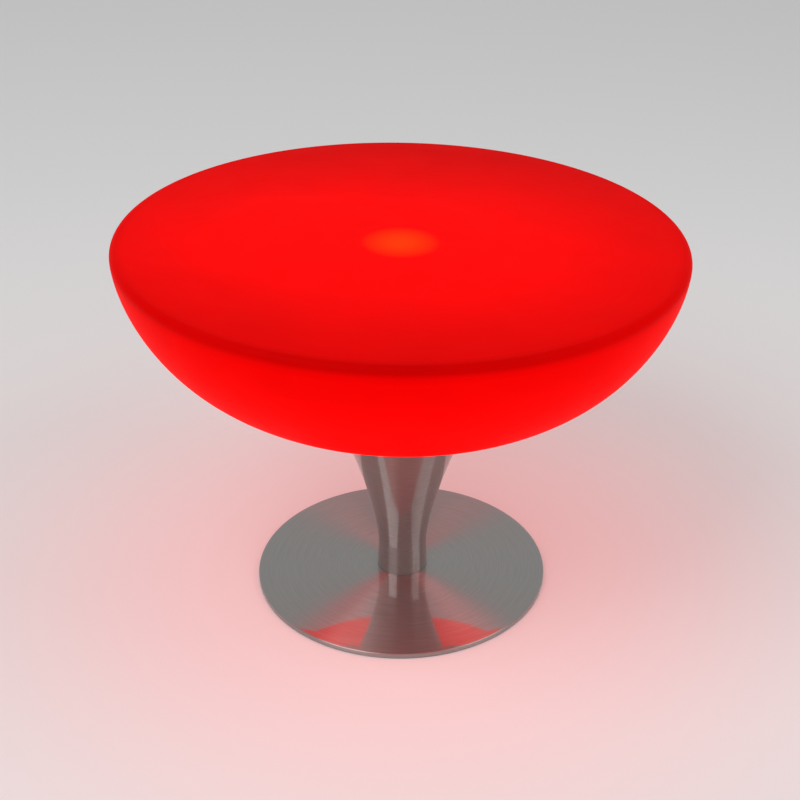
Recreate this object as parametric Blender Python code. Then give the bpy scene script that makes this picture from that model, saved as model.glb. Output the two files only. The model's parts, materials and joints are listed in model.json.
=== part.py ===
"""A lounge table that lights up: a hollow translucent bowl on a flared steel column and a round steel base.

Metres, +Z up. The origin is on the floor under the middle of the table, whose back is towards +Y.
"""

import math

import bmesh
import bpy
import numpy as np
from mathutils import Matrix, Vector

# Fits and tools
GAP = 0.0003  # between pieces that touch
OVERRUN = 0.002  # how far a cut runs past the face that it opens
WELD = 0.000001
SHARP_ANGLE = math.radians(35)

# The whole table
TOP_RADIUS = 0.400
TABLE_HEIGHT = 0.570

# Bowl: a flat top, a rounded edge and a side that follows a superellipse down to a flat seat
BOWL_WALL = 0.005
BOWL_EDGE_ROUND = 0.010
BOWL_SIDE_DEPTH = 0.228
BOWL_RADIUS_POWER_SHARE = 0.594
BOWL_DEPTH_POWER_SHARE = 1.255
BOWL_SEAT_RADIUS = 0.152
BOWL_OPENING_RADIUS = 0.104
BOSS_RADIUS = 0.009
BOSS_HEIGHT = 0.016

# Bowl fasteners
BOLT_CIRCLE = 0.134
BOLT_COUNT = 6
BOLT_RADIUS = 0.003
BOLT_HEAD_RADIUS = 0.0055
BOLT_HEAD_HEIGHT = 0.0033
BOLT_BITE = 0.011  # how far a bolt reaches into its insert
INSERT_RADIUS = 0.005
INSERT_LENGTH = 0.012
INSERT_GROOVE = 0.0008

# Neck
FLANGE_RADIUS = 0.150
FLANGE_THICKNESS = 0.004
FLANGE_RING_HEIGHT = 0.006
FLANGE_RING_WALL = 0.004
GASKET_INNER_RADIUS = 0.1245
GASKET_OUTER_RADIUS = 0.1485
GASKET_THICKNESS = 0.002

# Base
BASE_RADIUS = 0.225
BASE_EDGE_HEIGHT = 0.008
BASE_CROWN = 0.004  # how much higher the cover is at its middle than at its edge
COVER_SEAT_RADIUS = 0.046
COVER_WALL = 0.0015
COVER_EDGE_ROUND = 0.002
SKIRT_LIFT = 0.001  # the skirt and the ballast clear the floor by this
BALLAST_CHAMFER = 0.001
FLOOR_RING_INSET = 0.027  # of its middle from the base's edge
FLOOR_RING_WIDTH = 0.014
FLOOR_RING_THICKNESS = 0.003

# Hub
HUB_FLANGE_RADIUS = 0.044
HUB_SPIGOT_HEIGHT = 0.025
HUB_CHAMFER = 0.002
HUB_SCREW_CIRCLE = 0.025
HUB_SCREW_COUNT = 4
HUB_SCREW_RADIUS = 0.003
HUB_SCREW_HEAD_RADIUS = 0.006
HUB_SCREW_HEAD_DEPTH = 0.003
HUB_SCREW_LENGTH = 0.020

# Column
COLUMN_NECK_RADIUS = 0.0375
COLUMN_FOOT_FLARE = 0.0013
COLUMN_FOOT_HEIGHT = 0.048
COLUMN_TOP_RADIUS = 0.122
COLUMN_FLARE_POWER_SHARE = 1.45
COLUMN_WALL = 0.002

# Tie rod
ROD_RADIUS = 0.006
ROD_NUT_ACROSS_FLATS = 0.019
ROD_NUT_HEIGHT = 0.010
ROD_WASHER_RADIUS = 0.012
ROD_WASHER_THICKNESS = 0.0025
ROD_END = 0.004  # how far the rod stands out of its nut, and clears the ballast
ROD_CHAMFER = 0.001

# Lamp can
TRAY_RADIUS = 0.098
TRAY_HEIGHT = 0.044
TRAY_WALL = 0.0015
TRAY_FLOOR = 0.002
POST_RADIUS = 0.005
POST_CIRCLE = 0.088
LID_THICKNESS = 0.0025
LID_LIP_HEIGHT = 0.004
LID_LIP_WALL = 0.002
LID_SCREW_COUNT = 3
LID_SCREW_RADIUS = 0.002
LID_SCREW_LENGTH = 0.012
LID_SCREW_HEAD_RADIUS = 0.004
LID_SCREW_HEAD_HEIGHT = 0.0024

# LED board and dome
DOME_RADIUS = 0.054
DOME_HEIGHT = 0.028
DOME_WALL = 0.002
DOME_SKIRT = 0.006
DOME_FLANGE_WIDTH = 0.006
DOME_FLANGE_THICKNESS = 0.002
DOME_BEAD_WIDTH = 0.002
DOME_BEAD_HEIGHT = 0.0015
BOARD_RADIUS = 0.048
BOARD_THICKNESS = 0.0016
LED_SIZE = 0.005
LED_HEIGHT = 0.0014
LED_RINGS = ((0.018, 5), (0.036, 10))  # ring radius, LEDs in the ring

# Battery and controller
CELL_RADIUS = 0.0093
CELL_LENGTH = 0.066
BATTERY_OFFSET = 0.050  # its middle, towards the front
CLAMP_THICKNESS = 0.001
CLAMP_WIDTH = 0.014
CLAMP_FOOT = 0.012
CONTROLLER_WIDTH = 0.070
CONTROLLER_DEPTH = 0.040
CONTROLLER_THICKNESS = 0.0016
CONTROLLER_OFFSET = 0.050  # its middle, towards the back
STANDOFF_RADIUS = 0.003
STANDOFF_HEIGHT = 0.006
STANDOFF_INSET = 0.005
COIL_RADIUS = 0.007
COIL_HEIGHT = 0.008
CAPACITOR_RADIUS = 0.004
CAPACITOR_HEIGHT = 0.012
PLUG_WIDTH = 0.012
PLUG_DEPTH = 0.006
PLUG_HEIGHT = 0.007
CHIP_SIZE = 0.009
CHIP_HEIGHT = 0.0018

# Leads
LEAD_RADIUS = 0.0018
LEAD_HOLE_RADIUS = 0.003
LEAD_BEND = 0.012
LEAD_SPACING = 0.009  # between the points that a lead is drawn through
LEAD_SIDE_RESOLUTION = 2  # eight sides
GROMMET_RADIUS = 0.006
GROMMET_LIP = 0.0015
GROMMET_HEIGHT = 0.012  # its middle above the tray's floor

# Control panel, in its own frame: X across the table, Z out of the bowl
PANEL_RADIUS = 0.192  # distance of its middle from the table's axis
PAD_PROUD = 0.0008
PAD_DEPTH = 0.0085
PAD_MARGIN = 0.002
PANEL_WIDTH = 0.080
PANEL_HEIGHT = 0.046
PANEL_CORNER = 0.008
PANEL_FLANGE = 0.0025
PANEL_BODY_WIDTH = 0.062
PANEL_BODY_HEIGHT = 0.032
PANEL_BODY_CORNER = 0.003
PANEL_BODY_DEPTH = 0.019
PANEL_GASKET = 0.001
PANEL_SCREW_OFFSET = 0.0355
PANEL_SCREW_RADIUS = 0.0016
PANEL_SCREW_LENGTH = 0.009
PANEL_SCREW_HEAD_RADIUS = 0.0030
PANEL_SCREW_HEAD_HEIGHT = 0.0016
CONTROL_OFFSET = 0.0165  # of the button to one side and the socket to the other

# Button
BUTTON_RADIUS = 0.008
BUTTON_PROUD = 0.0016
BUTTON_TRAVEL = 0.002
BUTTON_STEM_DEPTH = 0.008  # from the panel's face to its collar
BUTTON_COLLAR_RADIUS = 0.0095
BUTTON_COLLAR_THICKNESS = 0.002
BUTTON_EDGE = 0.0008
SWITCH_SIZE = 0.021
SWITCH_DEPTH = 0.009
PLUNGER_RADIUS = 0.002

# Charging socket and its cap
WELL_RADIUS = 0.0068
WELL_DEPTH = 0.009
SOCKET_RADIUS = 0.0055
SOCKET_BORE_RADIUS = 0.0032
SOCKET_BORE_DEPTH = 0.009
SOCKET_PIN_RADIUS = 0.001
SOCKET_FLANGE_RADIUS = 0.0075
SOCKET_FLANGE_THICKNESS = 0.002
CAP_RADIUS = 0.0088
CAP_THICKNESS = 0.0016
CAP_LIP_RADIUS = 0.0060
CAP_LIP_DEPTH = 0.0014
CAP_KNUCKLE_RADIUS = 0.0020
CAP_KNUCKLE_LENGTH = 0.010
CAP_TAB = 0.0022  # how far the cap reaches past its round part, at the finger side
HINGE_OFFSET = 0.0125
HINGE_PIN_RADIUS = 0.001
EAR_THICKNESS = 0.0025

# Facets
BOWL_SIDES = 44
BASE_SIDES = 40
COLUMN_SIDES = 32
DISC_SIDES = 24
SMALL_SIDES = 14
SCREW_SIDES = 8
BOWL_SIDE_STEPS = 11
BOWL_INNER_STEPS = 8
EDGE_STEPS = 2
COLUMN_STEPS = 11
COLUMN_INNER_STEPS = 6
CROWN_STEPS = 3
DOME_STEPS = 4
CORNER_STEPS = 3

# Heights that follow from the sizes above
BALLAST_TOP = BASE_EDGE_HEIGHT - COVER_WALL - GAP
COVER_TOP = BASE_EDGE_HEIGHT + BASE_CROWN
HUB_BOTTOM = BALLAST_TOP + GAP
HUB_FLANGE_TOP = COVER_TOP - COVER_WALL - GAP
SPIGOT_TOP = COVER_TOP + HUB_SPIGOT_HEIGHT
COLUMN_BOTTOM = COVER_TOP + GAP
BOWL_RIM = TABLE_HEIGHT - BOWL_EDGE_ROUND
SEAT_ANGLE = math.acos((BOWL_SEAT_RADIUS / TOP_RADIUS) ** (1 / BOWL_RADIUS_POWER_SHARE))
BOWL_SEAT = BOWL_RIM - BOWL_SIDE_DEPTH * math.sin(SEAT_ANGLE) ** BOWL_DEPTH_POWER_SHARE
FLANGE_TOP = BOWL_SEAT - GAP - GASKET_THICKNESS - GAP
FLANGE_BOTTOM = FLANGE_TOP - FLANGE_THICKNESS
COLUMN_TOP = FLANGE_BOTTOM - GAP
COLUMN_HEIGHT = COLUMN_TOP - COLUMN_BOTTOM
TRAY_BOTTOM = FLANGE_TOP + GAP
TRAY_INSIDE = TRAY_BOTTOM + TRAY_FLOOR
TRAY_TOP = TRAY_BOTTOM + TRAY_HEIGHT
LID_BOTTOM = TRAY_TOP + GAP
LID_TOP = LID_BOTTOM + LID_THICKNESS
BOARD_BOTTOM = LID_TOP + GAP
WASHER_BOTTOM = TRAY_INSIDE + GAP
NUT_BOTTOM = WASHER_BOTTOM + ROD_WASHER_THICKNESS + GAP
ROD_TOP = NUT_BOTTOM + ROD_NUT_HEIGHT + ROD_END
ROD_BORE = ROD_RADIUS + GAP
PANEL_BACK = GAP + PANEL_GASKET + GAP  # the panel flange's back face, in the panel's frame
PANEL_FACE = PANEL_BACK + PANEL_FLANGE
PANEL_BODY_END = -PANEL_BODY_DEPTH
HINGE_RISE = PANEL_FACE + GAP + CAP_KNUCKLE_RADIUS


def finish(name, colour, roughness, metallic=0.0, glow=0.0):
    """A Principled material. Glow is the strength of its own light, in its own colour."""
    made = bpy.data.materials.new(name)
    made.use_nodes = True
    shader = made.node_tree.nodes["Principled BSDF"]
    shader.inputs["Base Color"].default_value = (*colour, 1)
    shader.inputs["Roughness"].default_value = roughness
    shader.inputs["Metallic"].default_value = metallic
    shader.inputs["Emission Color"].default_value = (*colour, 1)
    shader.inputs["Emission Strength"].default_value = glow
    made.diffuse_color = (*colour, 1)
    return made


def frame(name, at=(0, 0, 0), turn=(0, 0, 0), parent=None):
    """An empty that a group of pieces stands in."""
    empty = bpy.data.objects.new(name, None)
    bpy.context.scene.collection.objects.link(empty)
    empty.parent, empty.location, empty.rotation_euler = parent, at, turn
    return empty


def piece(name, shape, material=None, parent=None, at=(0, 0, 0), turn=(0, 0, 0)):
    """Turns a bmesh into an object, its faces facing out and its round faces smooth."""
    bmesh.ops.recalc_face_normals(shape, faces=shape.faces)
    mesh = bpy.data.meshes.new(name)
    shape.to_mesh(mesh)
    shape.free()
    mesh.shade_smooth()
    mesh.set_sharp_from_angle(angle=SHARP_ANGLE)
    made = bpy.data.objects.new(name, mesh)
    bpy.context.scene.collection.objects.link(made)
    made.parent, made.location, made.rotation_euler = parent, at, turn
    if material:
        mesh.materials.append(material)
    return made


def revolve(outline, sides, places=((0, 0, 0),)):
    """Spins a closed outline of (radius, height) points about Z, once at each place."""
    shape = bmesh.new()
    for place in places:
        points = [shape.verts.new((radius, 0, height)) for radius, height in outline]
        pairs = zip(points, points[1:] + points[:1])
        edges = [shape.edges.new(pair) for pair in pairs if pair[0].co.x + pair[1].co.x > 0]
        around = {"cent": (0, 0, 0), "axis": (0, 0, 1), "angle": math.tau, "steps": sides}
        bmesh.ops.spin(shape, geom=points + edges, use_merge=True, **around)
        fresh = [vert for vert in shape.verts if not vert.tag]
        bmesh.ops.translate(shape, verts=fresh, vec=place)
        for vert in fresh:
            vert.tag = True
    bmesh.ops.remove_doubles(shape, verts=shape.verts, dist=WELD)
    return shape


def extrude(outline, low, high, places=((0, 0),)):
    """Raises a closed outline of (x, y) points from low to high, once at each place."""
    shape = bmesh.new()
    for place_x, place_y in places:
        floor = shape.faces.new([shape.verts.new((x + place_x, y + place_y, low)) for x, y in outline])
        raised = bmesh.ops.extrude_face_region(shape, geom=[floor])["geom"]
        moved = [item for item in raised if isinstance(item, bmesh.types.BMVert)]
        bmesh.ops.translate(shape, verts=moved, vec=(0, 0, high - low))
    return shape


def drum(radius, low, high, edge=0.0):
    """The outline of a plain cylinder, its top edge broken by a chamfer."""
    top = [(radius, high)] if not edge else [(radius, high - edge), (radius - edge, high)]
    return [(0, low), (radius, low), *top, (0, high)]


def tube(inner, outer, low, high):
    """The outline of a plain ring."""
    return [(inner, low), (outer, low), (outer, high), (inner, high)]


def rectangle(width, depth, corner=0.0, middle=(0, 0)):
    """A rectangle of (x, y) points with round corners."""
    points = []
    for turn_x, turn_y, start in ((1, 1, 0), (-1, 1, 1), (-1, -1, 2), (1, -1, 3)):
        centre_x = middle[0] + turn_x * (width / 2 - corner)
        centre_y = middle[1] + turn_y * (depth / 2 - corner)
        steps = CORNER_STEPS if corner else 0
        for step in range(steps + 1):
            angle = (start + step / max(steps, 1)) * math.pi / 2
            points.append((centre_x + corner * math.cos(angle), centre_y + corner * math.sin(angle)))
    return points


def circle_places(radius, count, height=0.0, start=0.0):
    """Points evenly round a circle, the first one at the start angle from +X."""
    angles = [start + math.tau * i / count for i in range(count)]
    return [(radius * math.cos(a), radius * math.sin(a), height) for a in angles]


def combine(target, helper, operation):
    """Cuts the helper out of the target, or joins it to the target."""
    helper.hide_render, helper.display_type = True, "WIRE"
    modifier = target.modifiers.new(helper.name, "BOOLEAN")
    modifier.operation, modifier.object = operation, helper


def cut(target, helper):
    combine(target, helper, "DIFFERENCE")


def join(target, helper):
    combine(target, helper, "UNION")


def screw(name, head, radius, length, material, parent, at, turn=(0, 0, 0)):
    """A screw whose head's underside is at its origin and whose shank points down. Head is (radius, height)."""
    head_radius, head_height = head
    chamfer = head_height / 3
    outline = [(0, -length), (radius, -length), (radius, 0), (head_radius, 0)]
    outline += [(head_radius, head_height - chamfer), (head_radius - chamfer, head_height), (0, head_height)]
    return piece(name, revolve(outline, SCREW_SIDES), material, parent, at, turn)


def lead(name, route, material, radius=LEAD_RADIUS):
    """A round lead along a smooth curve through the route's points, with a short straight stub at each end."""
    route = np.array(route)
    first, last = route[0].copy(), route[-1].copy()
    for end, beside in ((0, 1), (-1, -2)):
        inward = route[beside] - route[end]
        route[end] += 2 * radius * inward / np.linalg.norm(inward)
    chords = np.diff(route, axis=0)
    lengths = np.linalg.norm(chords, axis=1)
    slopes = chords / lengths[:, None]
    before, after = lengths[:-1, None], lengths[1:, None]
    middle = (slopes[:-1] * after + slopes[1:] * before) / (before + after)
    tangents = np.vstack([slopes[:1], middle, slopes[-1:]])
    marks = np.concatenate([[0], np.cumsum(lengths)])
    path = [first]
    for along in np.linspace(0, marks[-1], math.ceil(marks[-1] / LEAD_SPACING) + 1):
        i = min(int(np.searchsorted(marks, along, "right")) - 1, len(lengths) - 1)
        s, span = (along - marks[i]) / lengths[i], lengths[i]
        bend = s * (1 - s) * span * ((1 - s) * (tangents[i] - slopes[i]) - s * (tangents[i + 1] - slopes[i]))
        path.append(route[i] + s * chords[i] + bend)
    path.append(last)
    curve = bpy.data.curves.new(name, "CURVE")
    curve.dimensions, curve.bevel_depth, curve.bevel_resolution = "3D", radius, LEAD_SIDE_RESOLUTION
    curve.use_fill_caps = True
    spline = curve.splines.new("POLY")
    spline.points.add(len(path) - 1)
    for point, place in zip(spline.points, path):
        point.co = (*place, 1)
    curve.materials.append(material)
    made = bpy.data.objects.new(name, curve)
    bpy.context.scene.collection.objects.link(made)
    return made


def bowl_side(angle):
    """A point of the bowl's outer side: angle 0 is the rim and SEAT_ANGLE is the edge of the seat."""
    radius = TOP_RADIUS * math.cos(angle) ** BOWL_RADIUS_POWER_SHARE
    height = BOWL_RIM - BOWL_SIDE_DEPTH * math.sin(angle) ** BOWL_DEPTH_POWER_SHARE
    return radius, height


def bowl_side_slope(angle):
    """The direction of the side at a point, going down, as a unit vector."""
    step = SEAT_ANGLE / 1000
    upper, lower = bowl_side(max(angle - step, 0)), bowl_side(angle + step)
    return Vector((lower[0] - upper[0], lower[1] - upper[1])).normalized()


def column_radius(height):
    """The column's outer radius at a height above its foot."""
    foot = max(0, 1 - height / COLUMN_FOOT_HEIGHT)
    flare = max(0, height - COLUMN_FOOT_HEIGHT) / (COLUMN_HEIGHT - COLUMN_FOOT_HEIGHT)
    rise = COLUMN_TOP_RADIUS - COLUMN_NECK_RADIUS
    return COLUMN_NECK_RADIUS + COLUMN_FOOT_FLARE * foot**2 + rise * flare**COLUMN_FLARE_POWER_SHARE


def cover_height(radius):
    """The height of the base cover's top at a radius: flat under the column, then a gentle crown."""
    share = max(0, radius - COVER_SEAT_RADIUS) / (BASE_RADIUS - COVER_SEAT_RADIUS)
    return COVER_TOP - BASE_CROWN * share**2


def make_finishes():
    return {
        "shell": finish("translucent_polyethylene", (0.9, 0.01, 0.005), 0.45, glow=0.6),
        "opal": finish("opal_polycarbonate", (0.95, 0.16, 0.02), 0.4, glow=1.0),
        "polished": finish("polished_stainless", (0.56, 0.55, 0.54), 0.2, 1.0),
        "steel": finish("zinc_plated_steel", (0.50, 0.50, 0.48), 0.4, 1.0),
        "ballast": finish("ballast_steel", (0.05, 0.05, 0.05), 0.4),
        "aluminium": finish("aluminium", (0.70, 0.70, 0.70), 0.35, 1.0),
        "brass": finish("brass", (0.68, 0.50, 0.20), 0.35, 1.0),
        "rubber": finish("black_rubber", (0.02, 0.02, 0.02), 0.8),
        "plastic": finish("black_abs", (0.025, 0.025, 0.027), 0.45),
        "board": finish("circuit_board", (0.02, 0.12, 0.05), 0.4),
        "white_board": finish("white_solder_mask", (0.8, 0.8, 0.78), 0.4),
        "wrap": finish("battery_wrap", (0.03, 0.10, 0.28), 0.35),
        "lead": finish("lead_sheath", (0.03, 0.03, 0.03), 0.5),
    }


def make_base(looks):
    """Floor ring, ballast, cover, hub and hub screws."""
    group = frame("base_frame")
    ring_middle = BASE_RADIUS - FLOOR_RING_INSET
    ring_in = ring_middle - FLOOR_RING_WIDTH / 2
    ring_out = ring_middle + FLOOR_RING_WIDTH / 2
    ring = tube(ring_in, ring_out, 0, FLOOR_RING_THICKNESS)
    piece("floor_ring", revolve(ring, BASE_SIDES), looks["rubber"], group)

    ballast_radius = BASE_RADIUS - COVER_WALL - GAP
    groove_top = FLOOR_RING_THICKNESS + GAP
    outline = [(0, SKIRT_LIFT), (ring_in - GAP, SKIRT_LIFT), (ring_in - GAP, groove_top)]
    outline += [(ring_out + GAP, groove_top), (ring_out + GAP, SKIRT_LIFT), (ballast_radius, SKIRT_LIFT)]
    outline += [(ballast_radius, BALLAST_TOP - BALLAST_CHAMFER)]
    outline += [(ballast_radius - BALLAST_CHAMFER, BALLAST_TOP), (0, BALLAST_TOP)]
    ballast = piece("ballast_plate", revolve(outline, BASE_SIDES), looks["ballast"], group)

    spigot_radius = column_radius(COLUMN_FOOT_HEIGHT) - COLUMN_WALL - GAP
    top = [(spigot_radius + GAP, COVER_TOP)]
    radii = np.linspace(COVER_SEAT_RADIUS, BASE_RADIUS - COVER_EDGE_ROUND, CROWN_STEPS + 1)
    top += [(radius, cover_height(radius)) for radius in radii]
    edge_top = top[-1][1]
    for step in range(1, EDGE_STEPS + 1):
        angle = math.pi / 2 * step / EDGE_STEPS
        reach, drop = COVER_EDGE_ROUND * math.sin(angle), COVER_EDGE_ROUND * (1 - math.cos(angle))
        top.append((BASE_RADIUS - COVER_EDGE_ROUND + reach, edge_top - drop))
    top.append((BASE_RADIUS, SKIRT_LIFT))
    inner_edge = BASE_RADIUS - COVER_WALL
    under = [(inner_edge, SKIRT_LIFT), (inner_edge, cover_height(inner_edge) - COVER_WALL)]
    under += [(radius, cover_height(radius) - COVER_WALL) for radius in radii[-2::-1]]
    under.append((spigot_radius + GAP, COVER_TOP - COVER_WALL))
    piece("base_cover", revolve(top + under, BASE_SIDES), looks["polished"], group)

    hub_outline = [(ROD_BORE, HUB_BOTTOM), (HUB_FLANGE_RADIUS, HUB_BOTTOM), (HUB_FLANGE_RADIUS, HUB_FLANGE_TOP)]
    hub_outline += [(spigot_radius, HUB_FLANGE_TOP), (spigot_radius, SPIGOT_TOP - HUB_CHAMFER)]
    hub_outline += [(spigot_radius - HUB_CHAMFER, SPIGOT_TOP), (ROD_BORE, SPIGOT_TOP)]
    hub = piece("base_hub", revolve(hub_outline, COLUMN_SIDES), looks["steel"], group)

    places = circle_places(HUB_SCREW_CIRCLE, HUB_SCREW_COUNT, SKIRT_LIFT, math.pi / HUB_SCREW_COUNT)
    shank, head, depth = HUB_SCREW_RADIUS, HUB_SCREW_HEAD_RADIUS, HUB_SCREW_HEAD_DEPTH
    sink = [(0, -OVERRUN), (head + GAP, -OVERRUN), (head + GAP, 0), (shank + GAP, depth + GAP)]
    sink += [(shank + GAP, HUB_SCREW_LENGTH + GAP), (0, HUB_SCREW_LENGTH + GAP)]
    sinks = piece("hub_screw_sinks", revolve(sink, SCREW_SIDES, places), parent=group)
    cut(ballast, sinks)
    cut(hub, sinks)
    body = [(0, 0), (head, 0), (shank, depth), (shank, HUB_SCREW_LENGTH), (0, HUB_SCREW_LENGTH)]
    for number, place in enumerate(places, 1):
        piece(f"hub_screw_{number}", revolve(body, SCREW_SIDES), looks["steel"], group, place)


def make_column(looks):
    """Column, tie rod with nut and washer, and the flange that carries the bowl."""
    group = frame("column_frame", (0, 0, COLUMN_BOTTOM))
    heights = np.linspace(0, COLUMN_HEIGHT, COLUMN_STEPS + 1)
    inner_heights = np.linspace(COLUMN_HEIGHT, 0, COLUMN_INNER_STEPS + 1)
    outline = [(column_radius(height), height) for height in heights]
    outline += [(column_radius(height) - COLUMN_WALL, height) for height in inner_heights]
    piece("column_shell", revolve(outline, COLUMN_SIDES), looks["polished"], group)

    rod_bottom = BALLAST_TOP + ROD_END
    rod = [(0, rod_bottom), (ROD_RADIUS - ROD_CHAMFER, rod_bottom), (ROD_RADIUS, rod_bottom + ROD_CHAMFER)]
    rod += [(ROD_RADIUS, ROD_TOP - ROD_CHAMFER), (ROD_RADIUS - ROD_CHAMFER, ROD_TOP), (0, ROD_TOP)]
    piece("tie_rod", revolve(rod, SMALL_SIDES), looks["steel"])
    washer = tube(ROD_BORE, ROD_WASHER_RADIUS, 0, ROD_WASHER_THICKNESS)
    piece("rod_washer", revolve(washer, SMALL_SIDES), looks["steel"], at=(0, 0, WASHER_BOTTOM))
    corner = ROD_NUT_ACROSS_FLATS / math.sqrt(3)
    hexagon = [(x, y) for x, y, _ in circle_places(corner, 6)]
    nut = piece("rod_nut", extrude(hexagon, 0, ROD_NUT_HEIGHT), looks["steel"], at=(0, 0, NUT_BOTTOM))
    bore = piece("rod_nut_bore", revolve(drum(ROD_BORE, -OVERRUN, ROD_NUT_HEIGHT + OVERRUN), SMALL_SIDES))
    bore.location = nut.location
    cut(nut, bore)

    ring_outer = column_radius(COLUMN_HEIGHT - FLANGE_RING_HEIGHT) - COLUMN_WALL - GAP
    ring_inner = ring_outer - FLANGE_RING_WALL
    ring_bottom = FLANGE_BOTTOM - FLANGE_RING_HEIGHT
    disc = [(ROD_BORE, FLANGE_BOTTOM), (ring_inner, FLANGE_BOTTOM), (ring_inner, ring_bottom)]
    disc += [(ring_outer, ring_bottom), (ring_outer, FLANGE_BOTTOM), (FLANGE_RADIUS, FLANGE_BOTTOM)]
    disc += [(FLANGE_RADIUS, FLANGE_TOP), (ROD_BORE, FLANGE_TOP)]
    flange = piece("mounting_flange", revolve(disc, COLUMN_SIDES), looks["steel"])
    cut(flange, bolt_holes("flange_holes", BOLT_RADIUS + GAP, FLANGE_BOTTOM - OVERRUN, FLANGE_TOP + OVERRUN))

    gasket_low = FLANGE_TOP + GAP
    gasket_high = gasket_low + GASKET_THICKNESS
    ring = tube(GASKET_INNER_RADIUS, GASKET_OUTER_RADIUS, gasket_low, gasket_high)
    gasket = piece("neck_gasket", revolve(ring, DISC_SIDES), looks["rubber"])
    cut(gasket, bolt_holes("gasket_holes", BOLT_RADIUS + GAP, gasket_low - OVERRUN, gasket_high + OVERRUN))


def bolt_holes(name, radius, low, high):
    """Cylinders at every bolt of the bowl, as one helper."""
    return piece(name, revolve(drum(radius, low, high), SCREW_SIDES, bolt_places()))


def bolt_places(height=0.0):
    return circle_places(BOLT_CIRCLE, BOLT_COUNT, height, math.pi / BOLT_COUNT)


def bowl_outline():
    """The closed section of the hollow moulding, from the middle of its top round to its inside."""
    outer = [(0, TABLE_HEIGHT)]
    inner = [(0, TABLE_HEIGHT - BOWL_WALL)]
    for step in range(EDGE_STEPS + 1):
        angle = math.pi / 2 * step / EDGE_STEPS
        for points, offset in ((outer, 0), (inner, BOWL_WALL)):
            round_radius = BOWL_EDGE_ROUND - offset
            reach = TOP_RADIUS - BOWL_EDGE_ROUND + round_radius * math.sin(angle)
            points.append((reach, BOWL_RIM + round_radius * math.cos(angle)))
    for step in range(1, BOWL_SIDE_STEPS + 1):
        outer.append(bowl_side(SEAT_ANGLE * step / BOWL_SIDE_STEPS))
    for step in range(1, BOWL_INNER_STEPS):
        angle = SEAT_ANGLE * step / BOWL_INNER_STEPS
        radius, height = bowl_side(angle)
        along = bowl_side_slope(angle)
        inner.append((radius + BOWL_WALL * along[1], height - BOWL_WALL * along[0]))
    floor = BOWL_SEAT + BOWL_WALL
    inner.append((BOWL_SEAT_RADIUS, floor))
    inner.append((BOWL_OPENING_RADIUS, floor))
    outer.append((BOWL_OPENING_RADIUS, BOWL_SEAT))
    return outer + inner[::-1]


def make_bowl(looks, panel):
    """The hollow moulding with its bosses, and the inserts and bolts that hold it down."""
    bowl = piece("bowl_shell", revolve(bowl_outline(), BOWL_SIDES), looks["shell"])
    boss_low, boss_high = BOWL_SEAT + BOWL_WALL / 2, BOWL_SEAT + BOSS_HEIGHT
    boss = drum(BOSS_RADIUS, boss_low, boss_high)
    join(bowl, piece("bowl_bosses", revolve(boss, SCREW_SIDES, bolt_places())))
    hole_top = BOWL_SEAT + INSERT_LENGTH + GAP
    cut(bowl, bolt_holes("insert_holes", INSERT_RADIUS + GAP, BOWL_SEAT - OVERRUN, hole_top))

    pad_width, pad_height = PANEL_WIDTH + 2 * PAD_MARGIN, PANEL_HEIGHT + 2 * PAD_MARGIN
    pad = rectangle(pad_width, pad_height, PANEL_CORNER + PAD_MARGIN)
    join(bowl, piece("panel_pad", extrude(pad, -PAD_DEPTH, 0), parent=panel))
    window = rectangle(PANEL_BODY_WIDTH + 2 * GAP, PANEL_BODY_HEIGHT + 2 * GAP, PANEL_BODY_CORNER + GAP)
    cut(bowl, piece("panel_window", extrude(window, PANEL_BODY_END, OVERRUN), parent=panel))
    drilled = drum(PANEL_SCREW_RADIUS + GAP, -PAD_DEPTH - BOWL_WALL, OVERRUN)
    cut(bowl, piece("panel_screw_holes", revolve(drilled, SCREW_SIDES, panel_screw_places()), parent=panel))

    waist_low, waist_high = INSERT_LENGTH / 3, INSERT_LENGTH * 2 / 3
    waist = INSERT_RADIUS - INSERT_GROOVE
    bore = BOLT_RADIUS + GAP
    outline = [(bore, 0), (INSERT_RADIUS, 0), (INSERT_RADIUS, waist_low), (waist, waist_low)]
    outline += [(waist, waist_high), (INSERT_RADIUS, waist_high), (INSERT_RADIUS, INSERT_LENGTH)]
    outline += [(bore, INSERT_LENGTH)]
    head_face = FLANGE_BOTTOM - GAP
    length = BOWL_SEAT + BOLT_BITE - head_face
    for number, (x, y, _) in enumerate(bolt_places(), 1):
        piece(f"bowl_insert_{number}", revolve(outline, SCREW_SIDES), looks["brass"], at=(x, y, BOWL_SEAT))
        head = (BOLT_HEAD_RADIUS, BOLT_HEAD_HEIGHT)
        at = (x, y, head_face)
        screw(f"bowl_screw_{number}", head, BOLT_RADIUS, length, looks["steel"], None, at, (math.pi, 0, 0))


def controller_places():
    """The controller board's four fixing points."""
    reach_x, reach_y = CONTROLLER_WIDTH / 2 - STANDOFF_INSET, CONTROLLER_DEPTH / 2 - STANDOFF_INSET
    return [(x, CONTROLLER_OFFSET + y, 0) for x in (-reach_x, reach_x) for y in (-reach_y, reach_y)]


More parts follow.
